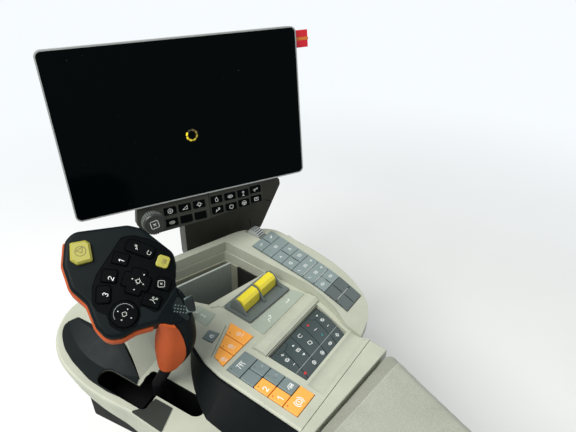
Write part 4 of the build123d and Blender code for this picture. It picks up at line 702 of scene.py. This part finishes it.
# Rings of the pad from its foot to its crown: share of the way to the spine, and height
PAD_RINGS = [(0.035, -13.2), (0.012, -12.0), (0.010, -6.0), (0.018, 0.5), (0.035, 5.5), (0.07, 8.6),
             (0.115, 9.7), (0.2, 10.2), (0.35, 10.7), (0.5, 11.0), (0.65, 11.2), (0.8, 11.3), (0.92, 11.3)]
HELD_UNDER = -12      # the cloth is held below this height, where the pad sits on its base
PUFF_FRAMES = 20      # length of the cloth run


def rounded(points, radius, steps=5):
    """Outline with its corners rounded, as a list of points."""
    out = []
    for i, point in enumerate(points):
        p = Vector(point)
        a, b = Vector(points[i - 1]) - p, Vector(points[(i + 1) % len(points)]) - p
        reach = min(radius, 0.45 * a.length, 0.45 * b.length)
        a, b = p + a.normalized() * reach, p + b.normalized() * reach
        for k in range(steps + 1):
            t = k / steps
            out.append(a * (1 - t) ** 2 + p * 2 * t * (1 - t) + b * t * t)
    return out


def even(points, count):
    """The closed outline as evenly spaced points."""
    ring = points + points[:1]
    lengths = [(b - a).length for a, b in zip(ring, ring[1:])]
    total, out = sum(lengths), []
    k, done = 0, 0.0
    for i in range(count):
        target = total * i / count
        while done + lengths[k] < target:
            done += lengths[k]
            k += 1
        t = (target - done) / lengths[k]
        out.append(ring[k].lerp(ring[k + 1], t))
    return out


def bevel(x, y):
    """Height that the bevel along the pad's front edge allows."""
    (left, front_left), (right, front_right) = PAD[:2]
    front = front_left + (front_right - front_left) * (x - left) / (right - left)
    return BEVEL_FOOT + max(0.0, front - y) * BEVEL_SLOPE


def puffed(shape, voxel, pressure, reach, held_under):
    """Closed form as padded fabric: voxel remesh, a short cloth run under pressure, one subdivision.

    The cloth run moves no point further than the reach, and points below a height are held.
    """
    mesh = bpy.data.meshes.new("puffing")
    shape.to_mesh(mesh)
    shape.free()
    obj = bpy.data.objects.new("puffing", mesh)
    scene.collection.objects.link(obj)
    remesh = obj.modifiers.new("remesh", "REMESH")
    remesh.mode = "VOXEL"
    remesh.voxel_size = voxel
    obj.data = bpy.data.meshes.new_from_object(obj.evaluated_get(bpy.context.evaluated_depsgraph_get()))
    obj.modifiers.clear()
    start = [v.co.copy() for v in obj.data.vertices]
    held = obj.vertex_groups.new(name="held")
    held.add([i for i, place in enumerate(start) if place.z < held_under], 1, "REPLACE")
    cloth = obj.modifiers.new("cloth", "CLOTH")
    cloth.settings.vertex_group_mass = "held"
    cloth.settings.use_pressure = True
    cloth.settings.uniform_pressure_force = pressure
    cloth.settings.effector_weights.gravity = 0
    cloth.point_cache.frame_start, cloth.point_cache.frame_end = 1, PUFF_FRAMES
    for number in range(1, PUFF_FRAMES + 1):
        scene.frame_set(number)
    ends = [v.co.copy() for v in obj.evaluated_get(bpy.context.evaluated_depsgraph_get()).data.vertices]
    obj.modifiers.clear()
    scene.frame_set(1)
    for vertex, a, b in zip(obj.data.vertices, start, ends):
        vertex.co = a + (b - a) * min(1, reach / max((b - a).length, 1e-9))
    softer = obj.modifiers.new("softer", "SMOOTH")
    softer.iterations = 2
    finer = obj.modifiers.new("finer", "SUBSURF")
    finer.levels = 1
    out = bmesh.new()
    smooth = bpy.data.meshes.new_from_object(obj.evaluated_get(bpy.context.evaluated_depsgraph_get()))
    out.from_mesh(smooth)
    bpy.data.objects.remove(obj)
    return out


def cushion():
    """The pad before it is puffed: rings of its outline that close in on a spine."""
    made = bmesh.new()
    along = SPINE_REAR - SPINE_FRONT
    outline = even(rounded(PAD, PAD_CORNER), PAD_POINTS)
    grid = []
    for inset, z in PAD_RINGS:
        row = []
        for p in outline:
            t = max(0.0, min(1.0, (p - SPINE_FRONT).dot(along) / along.length_squared))
            q = p.lerp(SPINE_FRONT + along * t, inset)
            row.append(made.verts.new(deck(q.x, q.y, min(z, bevel(q.x, q.y)))))
        grid.append(row)
    for low, high in zip(grid, grid[1:]):
        for i in range(len(low)):
            j = (i + 1) % len(low)
            made.faces.new((low[i], low[j], high[j], high[i]))
    made.faces.new(list(reversed(grid[0])))
    made.faces.new(grid[-1])
    bmesh.ops.triangulate(made, faces=[f for f in made.faces if len(f.verts) > 4])
    return made


made = cushion()
made = puffed(made, voxel=0.005, pressure=4, reach=0.0018, held_under=deck(0, 0, HELD_UNDER)[2])
pad = link("armrest_cushion", made, "console", vinyl)
for polygon in pad.data.polygons:
    polygon.use_smooth = True
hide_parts("armrest_pad")


# Floor, lamps and world
FLOOR_HALF, FLOOR_GAP = 6, 0.0005
FADE_FROM, FADE_TO = 0.45, 1.7        # distance over which the floor turns into the background
SKY = (0.93, 0.97, 1.0, 1)
SKY_LIGHT, GLARE_LIGHT = 0.44, 0.45   # strengths away from the camera's own rays


def pale_floor(name):
    """Pale floor whose far part glows like the background, so that no horizon shows."""
    made, tree, shader, coords = material(name)
    drift = noise(tree, coords, 1.5, 3)
    tree.links.new(ramp(tree, drift, ((0.3, (0.78, 0.78, 0.77)), (0.7, (0.84, 0.84, 0.83)))),
                   shader.inputs["Base Color"])
    shader.inputs["Roughness"].default_value = 0.9
    away = tree.nodes.new("ShaderNodeVectorMath")
    away.operation = "LENGTH"
    tree.links.new(coords, away.inputs[0])
    fade = tree.nodes.new("ShaderNodeMapRange")
    fade.interpolation_type = "SMOOTHSTEP"
    fade.inputs["From Min"].default_value = FADE_FROM
    fade.inputs["From Max"].default_value = FADE_TO
    tree.links.new(away.outputs["Value"], fade.inputs["Value"])
    rays = tree.nodes.new("ShaderNodeLightPath")
    far = tree.nodes.new("ShaderNodeEmission")
    far.inputs["Color"].default_value = SKY
    glare = tree.nodes.new("ShaderNodeMapRange")
    glare.inputs["To Min"].default_value = GLARE_LIGHT
    glare.inputs["To Max"].default_value = 1.0
    tree.links.new(rays.outputs["Is Camera Ray"], glare.inputs["Value"])
    tree.links.new(glare.outputs["Result"], far.inputs["Strength"])
    blend = tree.nodes.new("ShaderNodeMixShader")
    tree.links.new(fade.outputs["Result"], blend.inputs["Fac"])
    tree.links.new(shader.outputs["BSDF"], blend.inputs[1])
    tree.links.new(far.outputs["Emission"], blend.inputs[2])
    tree.links.new(blend.outputs["Shader"], tree.nodes["Material Output"].inputs["Surface"])
    return made


def lamp(name, place, target, size, power, colour):
    """Square area lamp that points at a target."""
    data = bpy.data.lights.new(name, "AREA")
    data.size, data.energy, data.color = size, power, colour
    obj = bpy.data.objects.new(name, data)
    obj.location = place
    obj.rotation_euler = (Vector(target) - Vector(place)).to_track_quat("-Z", "Y").to_euler()
    scene.collection.objects.link(obj)


def sky(name, strength):
    """Even background, at full strength for the camera and through glass, and weaker as a light."""
    made = bpy.data.worlds.new(name)
    made.use_nodes = True
    tree = made.node_tree
    background = tree.nodes["Background"]
    background.inputs["Color"].default_value = SKY
    path = tree.nodes.new("ShaderNodeLightPath")
    seen = tree.nodes.new("ShaderNodeMath")
    seen.operation = "MAXIMUM"
    tree.links.new(path.outputs["Is Camera Ray"], seen.inputs[0])
    tree.links.new(path.outputs["Is Transmission Ray"], seen.inputs[1])
    level = tree.nodes.new("ShaderNodeMapRange")
    level.inputs["To Min"].default_value = strength
    level.inputs["To Max"].default_value = 1.0
    tree.links.new(seen.outputs[0], level.inputs["Value"])
    tree.links.new(level.outputs["Result"], background.inputs["Strength"])
    return made


floor_edit = bmesh.new()
bmesh.ops.create_grid(floor_edit, x_segments=1, y_segments=1, size=FLOOR_HALF)
floor_mesh = bpy.data.meshes.new("floor")
floor_edit.to_mesh(floor_mesh)
floor_edit.free()
floor = bpy.data.objects.new("floor", floor_mesh)
floor.location = (0, 0, cad_box[0][2] - FLOOR_GAP)
scene.collection.objects.link(floor)
floor_mesh.materials.append(pale_floor("floor_paint"))

lamp("key", (-1.0, 0.7, 1.95), (0.0, 0.25, 0.2), 1.5, 58, (1.0, 0.99, 0.95))
lamp("fill", (1.4, -0.2, 1.5), (0.05, 0.2, 0.2), 1.6, 3, (0.95, 0.98, 1.0))
scene.world = sky("world", SKY_LIGHT)

scene.view_settings.view_transform = "Standard"
